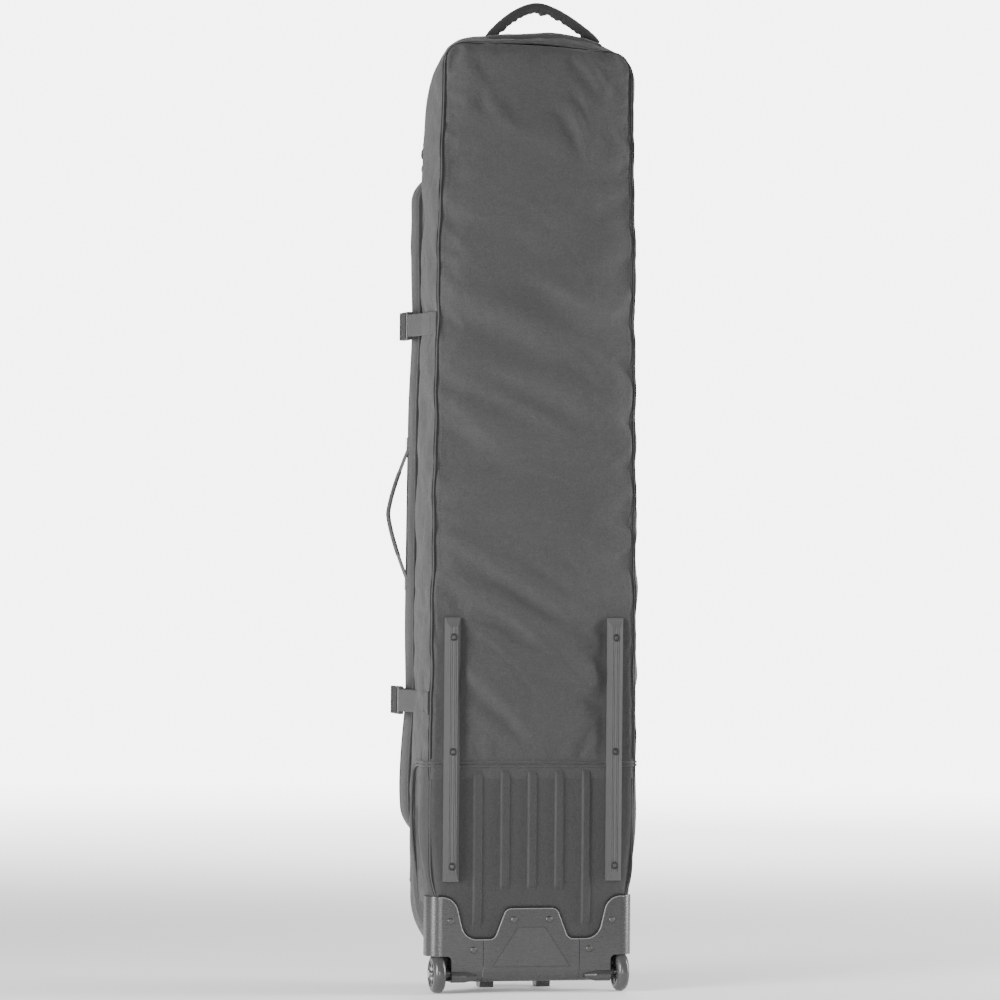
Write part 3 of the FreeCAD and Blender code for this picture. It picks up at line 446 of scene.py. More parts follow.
def plastic(name, level, rough, grain=700.0, edge_wear_and_highlight=0.5, bump=0.00012, gloss=0.5, painted_flank_shade=1.0):
    """Moulded plastic: fine spark-eroded grain, faint flow, scuffs, and paler edges that are partly real wear
    and partly a painted highlight on ridges. The faces turned to the sides carry painted shade: their colour is
    scaled by the flank factor."""
    graph = Graph(name)
    where = graph.add("TexCoord", output="Object")
    fine = graph.noise(where, grain, 2.0)
    flow = graph.noise(where, 9.0, 5.0)
    scuff = graph.noise(graph.stretched(where, (40.0, 40.0, 160.0), (0.3, 0.5, 0.2)), 1.0, 6.0, 0.7)
    # Edges paled by pointiness: partly real edge wear, partly a painted highlight along ridges.
    edges = graph.add("NewGeometry", output="Pointiness")
    edge_wear_and_highlight_mask = graph.ramp(edges, [(0.50, grey(0.0)), (0.62, grey(1.0))])
    base = graph.ramp(flow, [(0.35, grey(level * 0.90)), (0.70, grey(level * 1.12))])
    scratched = graph.add("MixRGB", {"Fac": graph.ramp(scuff, [(0.62, grey(0.0)), (0.80, grey(0.22))]),
                                     "Color1": base, "Color2": (*grey(level * 1.5), 1.0)})
    colour = graph.add("MixRGB", {"Fac": graph.maths("MULTIPLY", edge_wear_and_highlight_mask, edge_wear_and_highlight), "Color1": scratched,
                                  "Color2": (*grey(level * 2.0), 1.0)})
    # Painted shade: faces turned to the sides have their colour scaled by the flank factor.
    facing = graph.add("NewGeometry", output="Normal")
    sideways = graph.maths("ABSOLUTE", graph.add("SeparateXYZ", {0: facing}))
    turned = graph.add("MapRange", {"Value": sideways, "From Min": 0.25, "From Max": 0.6, "To Min": 1.0,
                                    "To Max": painted_flank_shade})
    colour = graph.add("VectorMath", {0: colour, 1: turned}, operation="MULTIPLY")
    rough_out = graph.spread(scuff, rough, rough + 0.05)
    normal = graph.bump(fine, bump)
    return graph.finish(colour, rough_out, normal, Specular_IOR_Level=gloss)


def metal(name, level, rough):
    """Plated steel with fine brushing and a little tarnish."""
    graph = Graph(name)
    where = graph.add("TexCoord", output="Object")
    brushed = graph.noise(graph.stretched(where, (300.0, 300.0, 2500.0)), 1.0, 3.0)
    tarnish = graph.noise(where, 70.0, 4.0)
    colour = graph.ramp(tarnish, [(0.30, grey(level * 0.7, 0.03)), (0.65, grey(level))])
    return graph.finish(colour, graph.spread(brushed, rough, rough + 0.18), graph.bump(brushed, 0.00004),
                        Metallic=1.0)


def thread_material():
    graph = Graph("thread")
    where = graph.add("TexCoord", output="Object")
    twist = graph.noise(where, 1800.0, 2.0)
    colour = graph.ramp(twist, [(0.3, grey(0.030)), (0.7, grey(0.060))])
    return graph.finish(colour, graph.spread(twist, 0.5, 0.7), graph.bump(twist, 0.0001), Sheen_Weight=0.2)


CASE = fabric("case_fabric", 0.041, contrast=0.30)
LINING = fabric("lining_fabric", 0.075, pitch=0.0009, contrast=0.10)
MOULDED = fabric("moulded_fabric", 0.029, pitch=0.0016, contrast=0.25, sheen=0.15, rough=0.66, grain=1.3)
BINDING = fabric("binding_tape", 0.036, pitch=0.0010, contrast=0.2, rough=0.66)
HANDLE = fabric("handle_fabric", 0.016, pitch=0.0013, contrast=0.2)
BOARD = plastic("board_sheet", 0.10, 0.5)
WEBBING = webbing("strap_webbing", 0.040)
TAPE = fabric("zip_tape_weave", 0.030, pitch=0.0008, rough=0.7)
BASE = plastic("base_plastic", 0.025, 0.25, grain=520.0, edge_wear_and_highlight=0.20, gloss=0.65)
# The rails' side faces get painted shade from the flank factor, and their ridges a painted highlight from the
# paled edges.
RAIL = plastic("rail_plastic", 0.053, 0.50, grain=600.0, edge_wear_and_highlight=0.35, painted_flank_shade=0.42)
BUCKLE = plastic("buckle_plastic", 0.022, 0.20, grain=900.0, edge_wear_and_highlight=0.3, bump=0.00006)
TYRE = plastic("tyre_urethane", 0.046, 0.22, grain=1200.0, edge_wear_and_highlight=0.15, bump=0.00005)
HUB = plastic("hub_plastic", 0.040, 0.34, edge_wear_and_highlight=0.2)
RIVET = metal("rivet_metal", 0.11, 0.26)
# Near-black for pieces that stand for painted shade: round the rail rivets and in the wheel wells.
SHADE_BLACK = plastic("painted_shade_black", 0.008, 0.62, edge_wear_and_highlight=0.1)
# Much paler than the base plastic: a painted highlight on the base's edge.
HIGHLIGHT_BEAD = plastic("base_bead_painted_highlight", 0.16, 0.24, grain=520.0, edge_wear_and_highlight=0.1)
STEEL = metal("axle_steel", 0.62, 0.22)
ZIP_METAL = metal("zip_metal", 0.40, 0.28)
THREAD = thread_material()
# Near-black cord colour: painted shade in the seam, above the base and at the tabs' ends.
SHADE_WELT = fabric("painted_shade_welt", 0.010, pitch=0.0010, sheen=0.05, rough=0.85)

CAD_MATERIALS = {
    BASE: ["wheel_housing_left", "wheel_housing_right", "kick_plate_centre", "front_foot_left",
           "front_foot_right"],
    RAIL: ["skid_rail_left", "skid_rail_right"],
    RIVET: ["base_rivets", "rail_rivets"],
    STEEL: ["left_axle_bolt", "right_axle_bolt", "left_axle_nut", "right_axle_nut", "left_bearings",
            "right_bearings"],
    TYRE: ["left_tyre", "right_tyre"],
    HUB: ["left_hub", "right_hub"],
    BUCKLE: ["upper_buckle_socket", "lower_buckle_socket", "upper_buckle_latch", "lower_buckle_latch"],
    ZIP_METAL: ["zip_slider_left", "zip_slider_right", "zip_pull_left", "zip_pull_right"],
    BOARD: ["back_stiffener"],
}


def dress_frame():
    """Gives the carried-over hard parts their materials."""
    for stuff, names in CAD_MATERIALS.items():
        for name in names:
            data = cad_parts[name].data
            data.materials.clear()
            data.materials.append(stuff)


# ---------------------------------------------------------------- cloth and folds

def relaxed(obj, pinned, pressure, growth, cap, bending=0.6, frames=20):
    """Lets a sheet that is cut a little large settle between its pinned edges, by cloth simulation."""
    group = obj.vertex_groups.new(name="pinned")
    group.add([int(i) for i in np.nonzero(pinned)[0]], 1.0, "REPLACE")
    start = np.array([v.co for v in obj.data.vertices])
    cloth = obj.modifiers.new("Settle", "CLOTH")
    cloth.settings.vertex_group_mass = "pinned"
    cloth.settings.quality = 6
    cloth.settings.mass = 0.25
    cloth.settings.tension_stiffness = 25
    cloth.settings.compression_stiffness = 25
    cloth.settings.shear_stiffness = 12
    cloth.settings.bending_stiffness = bending
    cloth.settings.shrink_min = -growth
    cloth.settings.use_pressure = True
    cloth.settings.uniform_pressure_force = pressure
    cloth.settings.effector_weights.gravity = 0
    cloth.collision_settings.use_collision = False
    cloth.point_cache.frame_end = frames
    for step in range(1, frames + 1):
        bpy.context.scene.frame_set(step)
    evaluated = obj.evaluated_get(bpy.context.evaluated_depsgraph_get())
    settled = np.array([v.co for v in evaluated.data.vertices])
    moved = settled - start
    far = np.linalg.norm(moved, axis=1)
    moved *= (cap * np.tanh(far / cap) / np.maximum(far, 1e-9))[:, None]
    obj.modifiers.remove(cloth)
    obj.vertex_groups.clear()
    bpy.context.scene.frame_set(1)
    move_points(obj.data, start + moved)


def creases(seed, count, x_range, z_range, angle, length, width, height):
    """Long soft folds in the plane of a panel, each a ridge with a hollow beside it. Every range is the least
    and the most that a fold may have; angle is in degrees from the x axis."""
    draw = random.Random(seed)
    made = []
    for _ in range(count):
        made.append((draw.uniform(*x_range), draw.uniform(*z_range),
                     math.radians(draw.uniform(*angle)), draw.uniform(*length), draw.uniform(*width),
                     draw.uniform(*height)))

    def lift(x, z):
        total = np.zeros(np.broadcast(x, z).shape)
        for x0, z0, turn, reach, wide, high in made:
            along = (x - x0) * math.cos(turn) + (z - z0) * math.sin(turn)
            off = -(x - x0) * math.sin(turn) + (z - z0) * math.cos(turn) + 0.12 * along * along / reach
            ridge = np.exp(-(off / wide) ** 2) - 0.55 * np.exp(-((off + 1.5 * wide) / (1.2 * wide)) ** 2)
            total += high * ridge * np.exp(-(along / reach) ** 4)
        return total

    return lift


def refined(obj, lift):
    """Doubles a sheet's points, and then moves each one along its normal by lift(points)."""
    modifier(obj, "SUBSURF", levels=1, render_levels=1)
    mesh = applied(obj).data
    spots = np.array([v.co for v in mesh.vertices])
    normals = np.array([v.normal for v in mesh.vertices])
    move_points(mesh, spots + normals * lift(spots)[:, None])


def rumple(points, size, amount, seed):
    """Small uneven swelling, as an array of lengths."""
    shift = Vector((seed * 3.1, seed * 1.7, seed * 2.3))
    swelling = [noise.fractal(Vector(p) / size + shift, 1.0, 2.0, 3) for p in points.reshape(-1, 3)]
    return np.array(swelling).reshape(points.shape[:-1]) * amount


# ---------------------------------------------------------------- the case

def loop(half, low, high, low_radius, high_radius, dome=0.0, sides=118):
    """A closed outline as (x, z), from the middle of the bottom up the right side and back down the left."""
    z_low, z_high = low + low_radius, high - high_radius
    x_low, x_high = float(half(z_low)) - low_radius, float(half(z_high)) - high_radius
    bottom = [(x, low) for x in np.linspace(0, x_low, 9)[:-1]]
    turns = np.linspace(0, math.pi / 2, 11)[:-1]
    bottom_corner = [(x_low + low_radius * math.sin(a), z_low - low_radius * math.cos(a)) for a in turns]
    side = [(float(half(z)), z) for z in np.linspace(z_low, z_high, sides)[:-1]]
    top_corner = [(x_high + high_radius * math.cos(a), z_high + high_radius * math.sin(a)) for a in turns]
    top = [(x, high + dome * math.cos(math.pi * x / (2 * max(x_high, 1e-3)))) for x in
           np.linspace(x_high, 0, 13)]
    right = bottom + bottom_corner + side + top_corner + top
    left = [(-x, z) for x, z in reversed(right[1:-1])]
    return np.array(right + left)


# Depths of the case's rows. The first three are the tuck behind the back panel; TUCKS is how far each is
# drawn in.
CASE_ROWS = np.array([0.0050, 0.0022, 0.0020, 0.0045, 0.011, 0.021, 0.030, 0.0365, 0.0385, 0.047, 0.057, 0.067,
                      0.077, 0.087, 0.097, 0.108, 0.120, 0.131, 0.140, 0.146, CASE_DEPTH])
TUCKS = (0.0022, 0.0012, 0.0002)
BEHIND_BASE_Y = BASE_Y + 0.0015
BEHIND_BASE_Z = 0.088      # the fabric's foot where the base hides it

# Share of the way from the seam's half width to the full one, by depth.
case_swell = table([(0.0, 0.0), (0.006, 0.34), (0.014, 0.66), (0.030, 0.92), (0.050, 1.0)], 0.002)
RIGHT_SWELL = 0.0065       # how much fuller the case is on its right side
zip_half = table([(0.12, 0.176), (0.25, 0.179), (0.34, 0.179), (0.49, 0.1725), (0.65, 0.1720), (0.92, 0.1695),
                  (1.133, 0.1645), (1.25, 0.1650), (1.389, 0.1660), (1.466, 0.1660)])
top_rise = table([(0.0, -0.013), (0.012, -0.004), (0.028, 0.0035), (0.050, 0.0070), (0.072, 0.0055),
                  (0.10, -0.006), (0.13, -0.028), (CASE_DEPTH, -0.044)], 0.005)


def case_rise(deep):
    """Height of the case's top at a depth, in the middle of the bag. It slopes down to the front."""
    return CASE_TOP + top_rise(deep)


def case_radius(deep):
    """Radius of the case's upper corners, which grows towards the zip."""
    return TOP_CORNER + 0.114 * (max(deep, 0.0) / CASE_DEPTH) ** 0.70


def back_top():
    return float(case_rise(0.0)) + DOME * 0.4


def back_half(z):
    """Half width of the back panel, which stops just inside its seam."""
    return seam_half(z) - 0.0003


def case_half(z, deep):
    """Half width of the case at a height and a depth."""
    full = seam_half(z) + (full_half(z) - seam_half(z)) * case_swell(deep)
    return full + (zip_half(z) - full) * smooth(0.085, 0.150, deep)


def case_loft():
    """The side walls, the top and the toe: one padded strip round the whole bag."""
    rows = []
    for row, deep in enumerate(CASE_ROWS):
        tucked = TUCKS[row] if row < len(TUCKS) else 0.0
        low = BEHIND_BASE_Z if BACK_Y + deep < BEHIND_BASE_Y else TOE_Z + 0.002
        high = float(case_rise(deep)) - tucked
        outline = loop(lambda z: case_half(z, deep) - tucked, low, high, TOE_RADIUS, case_radius(deep),
                       dome=DOME)
        rows.append([(x, BACK_Y + deep, z) for x, z in outline])
    return np.array(rows)


def case_top(x, deep):
    """Height of the top's surface at x and a depth."""
    high, radius = float(case_rise(deep)), case_radius(deep)
    flat = float(case_half(high - radius, deep)) - radius
    if abs(x) <= flat:
        level = high + DOME * math.cos(math.pi * x / (2 * flat))
    else:
        level = high - radius + math.sqrt(max(radius ** 2 - (abs(x) - flat) ** 2, 0))
    return level - float(top_sag(x, level)) + float(top_crown(x, deep))


def case_folds(points, deep):
    """How far the case's fabric stands off its loft: upright folds, low folds and the straps' pull."""
    side = np.where(points[..., 0] < 0, -1.0, 1.0)
    upright = creases(11, 16, (0.02, 0.13), (0.20, 1.45), (62, 118), (0.03, 0.09), (0.007, 0.013),
                      (0.0008, 0.0024))
    low_folds = creases(12, 12, (0.085, 0.14), (0.06, 0.36), (75, 112), (0.03, 0.07), (0.005, 0.009),
                        (0.0015, 0.0034))
    lift = upright(deep + 0.01 * side, points[..., 2]) + low_folds(deep + 0.006 * side, points[..., 2])
    lift += rumple(points, 0.055, 0.0016, 3)
    for label in STRAPS:
        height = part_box(f"{label}_strap")[0].z + STRAP_HALF
        lift -= 0.0022 * np.exp(-((points[..., 2] - height) / 0.020) ** 2)
    free = smooth(0.003, 0.030, deep) * (1 - smooth(0.118, 0.147, deep))
    return lift * free


def case_wrinkles(spots):
    """Fine wrinkles of the case's sides, slanting down from the seam and level from the zip."""
    slant = creases(13, 15, (0.03, 0.12), (0.50, 1.36), (50, 68), (0.018, 0.050), (0.0030, 0.0060),
                    (0.0008, 0.0020))
    level = creases(14, 7, (0.01, 0.09), (0.50, 1.45), (-8, 14), (0.015, 0.030), (0.0030, 0.0050),
                    (0.0008, 0.0016))
    depth = spots[:, 1] - BACK_Y
    free = smooth(0.004, 0.014, depth) * (1 - smooth(0.125, 0.145, depth))
    free = free * smooth(0.10, 0.14, np.abs(spots[:, 0]))
    free *= np.maximum(smooth(PANEL_HIGH, PANEL_HIGH + 0.03, spots[:, 2]), smooth(0.095, 0.11, depth))
    bias = 0.012 * np.sign(spots[:, 0])
    return free * (slant(depth + bias, spots[:, 2]) + level(depth, spots[:, 2] + bias)) \
        + free * rumple(spots, 0.020, 0.0009, 8)


def make_case():
    points = case_loft()
    outwards = points[..., [0, 2]].copy()
    outwards[..., 1] -= np.clip(outwards[..., 1], 0.15, CASE_TOP - 0.06)
    outwards /= np.maximum(np.linalg.norm(outwards, axis=2), 1e-6)[..., None]
    deep = points[..., 1] - BACK_Y
    points[..., 0] += RIGHT_SWELL * case_swell(deep) * smooth(0.12, 0.165, points[..., 0]) \
        * smooth(0.30, 0.46, points[..., 2]) * (1 - smooth(0.11, 0.146, deep))
    crown = top_crown(points[..., 0], deep) * smooth(1.50, 1.58, points[..., 2])
    points[..., 2] += crown - top_sag(points[..., 0], points[..., 2])
    lift = case_folds(points, deep)
    under_wing = (points[..., 2] > PANEL_LOW + 0.004) & (points[..., 2] < PANEL_HIGH - 0.02) & (deep < 0.090)
    hidden = under_wing | ((points[..., 2] < PANEL_HIGH - 0.02) & (points[..., 1] < BEHIND_BASE_Y))
    lift = np.where(hidden, np.minimum(lift, 0) - 0.002, lift)
    points[..., 0] += outwards[..., 0] * lift
    points[..., 2] += outwards[..., 1] * lift
    case = sheet("case_sides", points, flip=True, round_columns=True)
    zip_row = deep.ravel() > 0.1475
    seam_row = deep.ravel() < 0.0048
    relaxed(case, zip_row | seam_row | hidden.ravel(), 1.2, 0.012, 0.005, bending=1.5)
    refined(case, case_wrinkles)
    thicken(case, SKIN)
    finish_piece(case, CASE, "case",
                 ["left_gusset", "right_gusset", "top_cap", "toe_strip"])


def face_rows(half, low, high, low_radius, high_radius, across=57, up=150):
    """A grid of (x, z) that fills an outline with rounded corners, as rows of equal numbers of points."""
    share = np.linspace(0, 1, up)
    height = low + (high - low) * (share - 0.62 * np.sin(2 * math.pi * share) / (2 * math.pi))
    into_low = np.clip(low_radius - (height - low), 0, low_radius)
    into_high = np.clip(high_radius - (high - height), 0, high_radius)
    width = half(height) - (low_radius - np.sqrt(low_radius ** 2 - into_low ** 2))
    width -= high_radius - np.sqrt(high_radius ** 2 - into_high ** 2)
    u = np.sin(np.linspace(-1, 1, across) * math.pi / 2) * 0.35 + np.linspace(-1, 1, across) * 0.65
    return width[:, None] * u[None, :], np.repeat(height[:, None], across, axis=1), u, share


def clear_of_rails(x, z):
    """0 under the skid rails, which lie flat on the fabric, and 1 away from them."""
    near = np.abs(np.abs(x) - (RAIL_LOW.x + RAIL_HIGH.x) / 2)
    return np.maximum(smooth(0.016, 0.034, near), smooth(RAIL_HIGH.z, RAIL_HIGH.z + 0.035, z))


def make_back_panel():
    x, z, u, share = face_rows(back_half, PANEL_HIGH - 0.030, back_top(), 0.0005, TOP_CORNER)
    edge = (1 - np.abs(u) ** 5)[None, :] * (1 - np.abs(2 * share[:, None] - 1) ** 40)
    folds = [
        creases(5, 17, (-0.13, 0.13), (0.52, 1.20), (-38, -18), (0.08, 0.18), (0.012, 0.024), (0.0040, 0.0080)),
        creases(6, 9, (-0.14, 0.14), (0.45, 1.54), (-62, -12), (0.04, 0.10), (0.012, 0.022), (0.0010, 0.0024)),
        creases(8, 5, (-0.14, -0.07), (1.47, 1.56), (100, 140), (0.025, 0.050), (0.009, 0.016),
                (0.0030, 0.0055)),
        creases(9, 6, (0.05, 0.14), (1.44, 1.57), (-78, -45), (0.025, 0.055), (0.009, 0.016), (0.0030, 0.0055)),
    ]
    lift = 0.0045 * edge + sum(fold(x, z) for fold in folds) * edge
    spots = np.stack([x, np.zeros_like(x), z], axis=2)
    lift += rumple(spots, 0.10, 0.0022, 1) * edge
    roll = 0.0028 * (np.abs(u) ** 90)[None, :] + 0.0028 * (np.clip(2 * share[:, None] - 1, 0, 1) ** 500)
    lift = lift * clear_of_rails(x, z) * smooth(PANEL_HIGH - 0.01, PANEL_HIGH + 0.05, z)
    points = np.stack([x, BACK_Y - lift + roll, z - top_sag(x, z)], axis=2)
    panel = sheet("back_panel_fabric", points)
    held = border(x.shape)
    held[1, :] = True
    held |= (clear_of_rails(x, z) < 0.5) | (z < PANEL_HIGH + 0.006)
    relaxed(panel, held.ravel(), 1.4, 0.016, 0.0075, bending=2.2)
    fine = creases(15, 34, (-0.14, 0.14), (0.45, 1.50), (-52, -8), (0.03, 0.09), (0.005, 0.010),
                   (0.0005, 0.0013))
    gather = creases(16, 26, (0.137, 0.168), (0.46, 1.50), (-24, 24), (0.008, 0.020), (0.0035, 0.0060),
                     (0.0010, 0.0022))

    def wrinkles(spots):
        x, z = spots[:, 0], spots[:, 2]
        free = smooth(0.0, 0.010, back_half(z) - np.abs(x))
        free = free * clear_of_rails(x, z) * smooth(PANEL_HIGH + 0.01, PANEL_HIGH + 0.04, z)
        gathered = gather(np.abs(x), z + 0.03 * np.sign(x))
        return free * (fine(x, z) + gathered + rumple(spots, 0.016, 0.0005, 9))

    refined(panel, wrinkles)
    thicken(panel, SKIN)
    finish_piece(panel, CASE, "case", ["back_panel"])


def hood(name, half, edge_low, edge_high, crown, replaced, seed):
    """A padded front between two edge lines, each a height for every x."""
    u = np.sin(np.linspace(-1, 1, 61) * math.pi / 2)
    x = u * half
    share = np.linspace(0, 1, 27)
    low, high = np.array([edge_low(v) for v in x]), np.array([edge_high(v) for v in x])
    z = low[None, :] + (high - low)[None, :] * share[:, None]
    x = np.repeat(x[None, :], len(share), axis=0)
    full = (1 - np.abs(u) ** 3)[None, :] * (1 - np.abs(2 * share - 1) ** 3)[:, None]
    fold = creases(seed, 14, (-0.15, 0.15), (z.min(), z.max()), (70, 112), (0.03, 0.09), (0.007, 0.014),
                   (0.001, 0.003))
    lift = crown * full + fold(x, z) * full ** 0.5
    points = np.stack([x, ZIP_Y + lift, z], axis=2)
    front = sheet(name, points, flip=True)
    relaxed(front, border(x.shape).ravel(), 1.2, 0.014, 0.006, bending=1.5)
    thicken(front, SKIN)
    finish_piece(front, CASE, "case", [replaced])


def corner_drop(x, half, radius):
    """How far a rounded corner's line has turned away from its straight edge, at x."""
    into = np.clip(abs(x) - (half - radius), 0, radius)
    return radius - math.sqrt(max(radius ** 2 - into ** 2, 0.0))


def make_hoods():
    foot_half, top_half = 0.1765, 0.1655
    hood("bottom_hood_fabric", foot_half,
         lambda x: TOE_Z + 0.003 + corner_drop(x, foot_half, TOE_RADIUS - 0.001),
         lambda x: LID_LOW - 0.001 + corner_drop(x, foot_half, LID_RADIUS), 0.018, "bottom_hood_front", 21)
    high, radius = float(case_rise(CASE_DEPTH)) + 0.5 * DOME, case_radius(CASE_DEPTH)
    hood("top_hood_fabric", top_half, lambda x: LID_HIGH + 0.001 - corner_drop(x, top_half, LID_RADIUS),
         lambda x: high - corner_drop(x, top_half, radius), 0.016, "top_hood_front", 22)


# ---------------------------------------------------------------- moulded lower panel

RIB_PITCH = 0.0474
WING_TURN = 0.040          # radius of the wings' upper front corners
PANEL_TURN = 0.021         # radius of the turn from the back into a wing
PANEL_NOMINAL = 0.180      # half width that the route round the panel is laid out for


def panel_route(half, count=200):
    """From the left wing's front edge round the back to the right wing's, as (x, depth, arc share)."""
    wing = WING_Y - BACK_Y
    back = 0.0006
    quarter = PANEL_TURN * math.pi / 2
    side, across = wing - back - PANEL_TURN, 2 * (half - PANEL_TURN)
    places = np.linspace(0, 2 * side + 2 * quarter + across, count)
    spots = []
    for s in places:
        mirror = s > side + quarter + across / 2
        s = 2 * side + 2 * quarter + across - s if mirror else s
        if s < side:
            x, d = -half, wing - s
        elif s < side + quarter:
            a = (s - side) / PANEL_TURN
            x = -half + PANEL_TURN * (1 - math.cos(a))
            d = back + PANEL_TURN * (1 - math.sin(a))
        else:
            x, d = -half + PANEL_TURN + s - side - quarter, back
        spots.append((-x if mirror else x, d))
    return np.array(spots)


def wing_top(deep):
    """Height of the panel's top edge at a depth: level, then turning down at the wing's front corner."""
    into = np.clip(deep - (WING_Y - BACK_Y - WING_TURN), 0, WING_TURN)
    return PANEL_HIGH - (WING_TURN - np.sqrt(np.maximum(WING_TURN ** 2 - into ** 2, 0)))


def panel_height(deep, share):
    """Height on the moulded panel at a depth: share runs from its foot to its top edge."""
    return PANEL_LOW + 0.004 + (wing_top(deep) - PANEL_LOW - 0.004) * share


def panel_point(s, share, proud):
    """A point of the moulded panel: s from 0 to 1 round it, share from its foot to its top edge."""

    def on_route(route, column):
        return np.interp(s, np.linspace(0, 1, len(route)), route[:, column])

    z = float(panel_height(on_route(panel_route(PANEL_NOMINAL), 1), share))
    route = panel_route(float(panel_half(z)) + proud)
    return on_route(route, 0), on_route(route, 1), z


def make_moulded_panel():
    rows, columns = 66, 420
    points = np.zeros((rows, columns, 3))
    shares = np.linspace(0, 1, rows)
    route = panel_route(PANEL_NOMINAL, columns)
    points[..., :2] = route
    points[..., 2] = panel_height(route[:, 1], shares[:, None])
    points[..., 0] *= panel_half(points[..., 2]) / PANEL_NOMINAL
    x, z, deep = points[..., 0], points[..., 2], points[..., 1]
    on_back = 1 - smooth(0.001, 0.008, deep)
    rib = np.zeros_like(x)
    for step in range(-2, 3):
        foot = 0.112 if abs(step) == 2 else 0.174
        shape = 1 - smooth(0.0060, 0.0074, np.abs(x - step * RIB_PITCH))
        rib += shape * smooth(foot, foot + 0.010, z) * (1 - smooth(PANEL_HIGH - 0.024, PANEL_HIGH - 0.014, z))
    lift = 0.0030 * rib * on_back
    lift += 0.0014 * np.sin(math.pi * shares)[:, None] * (1 - smooth(0.15, 0.17, np.abs(x))) * on_back \
        * smooth(BASE_TOP - 0.06, BASE_TOP + 0.02, z)
    wings = smooth(0.010, 0.030, deep) * smooth(BASE_TOP, BASE_TOP + 0.03, z)
    foot = toe_half(z) + 0.0022
    in_front = smooth(BASE_Y - BACK_Y - 0.006, BASE_Y - BACK_Y + 0.010, deep)
    points[..., 0] -= np.sign(x) * np.maximum(np.abs(x) - foot, 0.0) * in_front
    x = points[..., 0]
    dent = creases(31, 9, (0.02, 0.09), (0.20, 0.36), (60, 120), (0.03, 0.08), (0.007, 0.012), (0.0008, 0.002))
    outward = rumple(points, 0.05, 0.0015, 4) * wings + dent(deep, z) * wings
    points[..., 0] += np.sign(x) * outward
    points[..., 1] = BACK_Y + deep - lift
    panel = sheet("moulded_panel", points)
    thicken(panel, 0.0028)
    finish_piece(panel, MOULDED, "case", ["lower_back_panel"])

    for label, inset in (("outer", 0.0022), ("inner", 0.0075)):
        line = evenly(panel_piping_line(inset), 0.004)
        piping = tube(f"panel_piping_{label}", line, 0.0021, across=(0.0, 0.3, 1.0), sides=8)
        finish_piece(piping, BINDING, "case", ["panel_piping"] if label == "outer" else ())


def panel_piping_line(inset):
    """Up the left wing's front edge, along under the panel's top edge, and down the right wing's front edge."""
    proud, wing_low, wing_high = 0.001, 0.26, 0.985
    ups = np.linspace(wing_low, wing_high, 40)
    line = []

    def front_edge(s, shares):
        for up in shares:
            x, deep, z = panel_point(s, up, proud)
            line.append((x, BACK_Y + deep - inset, z))

    front_edge(0.0, ups)
    for s in np.linspace(0, 1, 260)[1:-1]:
        x, deep, z = panel_point(s, 1.0, proud)
        wing_share = float(smooth(WING_Y - BACK_Y - WING_TURN, WING_Y - BACK_Y, deep))
        off_back = 0.0012 if deep < 0.004 else 0.0
        line.append((x, BACK_Y + deep - inset * wing_share - off_back, z - inset * (1 - wing_share ** 2)))
    front_edge(1.0, np.linspace(wing_high, wing_low, 40))
    return line


def make_rivet_shade_rings():
    """A near-black ring round each rivet of the skid rails: painted shade of the rivet's recess."""
    low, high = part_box("rail_rivets")
    rivet, ring_radius, ring_thick = 0.0084, 0.0052, 0.0013
    turns = np.linspace(0, 2 * math.pi, 41)
    for side, label in SIDES:
        centre_x = side * (high.x - rivet / 2)
        for step, height in enumerate(np.linspace(low.z + rivet / 2, high.z - rivet / 2, 3)):
            ring = [(centre_x + ring_radius * math.cos(a), RAIL_LOW.y, height + ring_radius * math.sin(a))
                    for a in turns]
            shade_ring = tube(f"rivet_shade_ring_{label}_{step + 1}", ring, ring_thick, sides=8)
            finish_piece(shade_ring, SHADE_BLACK, "case")


def base_top_line(depth):
    """The base's upper edge at a depth inside its plates, found by looking straight down on them."""
    names = ("wheel_housing_left", "kick_plate_centre", "wheel_housing_right")
    plates = [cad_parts[name] for name in names]
    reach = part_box("wheel_housing_right")[1].x - 0.004
    line = []
    for x in np.linspace(-reach, reach, 1400):
        tops = []
        for plate in plates:
            into = plate.matrix_world.inverted()
            hit, spot, _, _ = plate.ray_cast(into @ Vector((x, depth, 0.30)),
                                             into.to_3x3() @ Vector((0.0, 0.0, -1.0)))
            if hit:
                tops.append((plate.matrix_world @ spot).z)
        if tops:
            line.append((x, 0.0, max(tops)))
    return evenly(line, 0.0025)


def make_base_edge():
    """A near-black welt, painted shade where the fabric goes in behind the base, and a raised bead on the edge
    below it, pale as a painted highlight.
    """
    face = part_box("kick_plate_centre")[0].y
    line = base_top_line(face + 0.0012)
    # Painted shade: the welt's near-black stands for the shadow gap above the base.
    welt = tube("base_shade_welt", line + np.array((0.0, BACK_Y - 0.0006, 0.0015)), 0.0018, sides=8)
    finish_piece(welt, SHADE_WELT, "case")
    # Painted highlight: the bead's pale colour stands for the bright rim of the base's edge.
    bead = tube("base_edge_highlight_bead", line + np.array((0.0, face + 0.0005, -0.0014)), 0.0009, sides=8)
    finish_piece(bead, HIGHLIGHT_BEAD, "case")


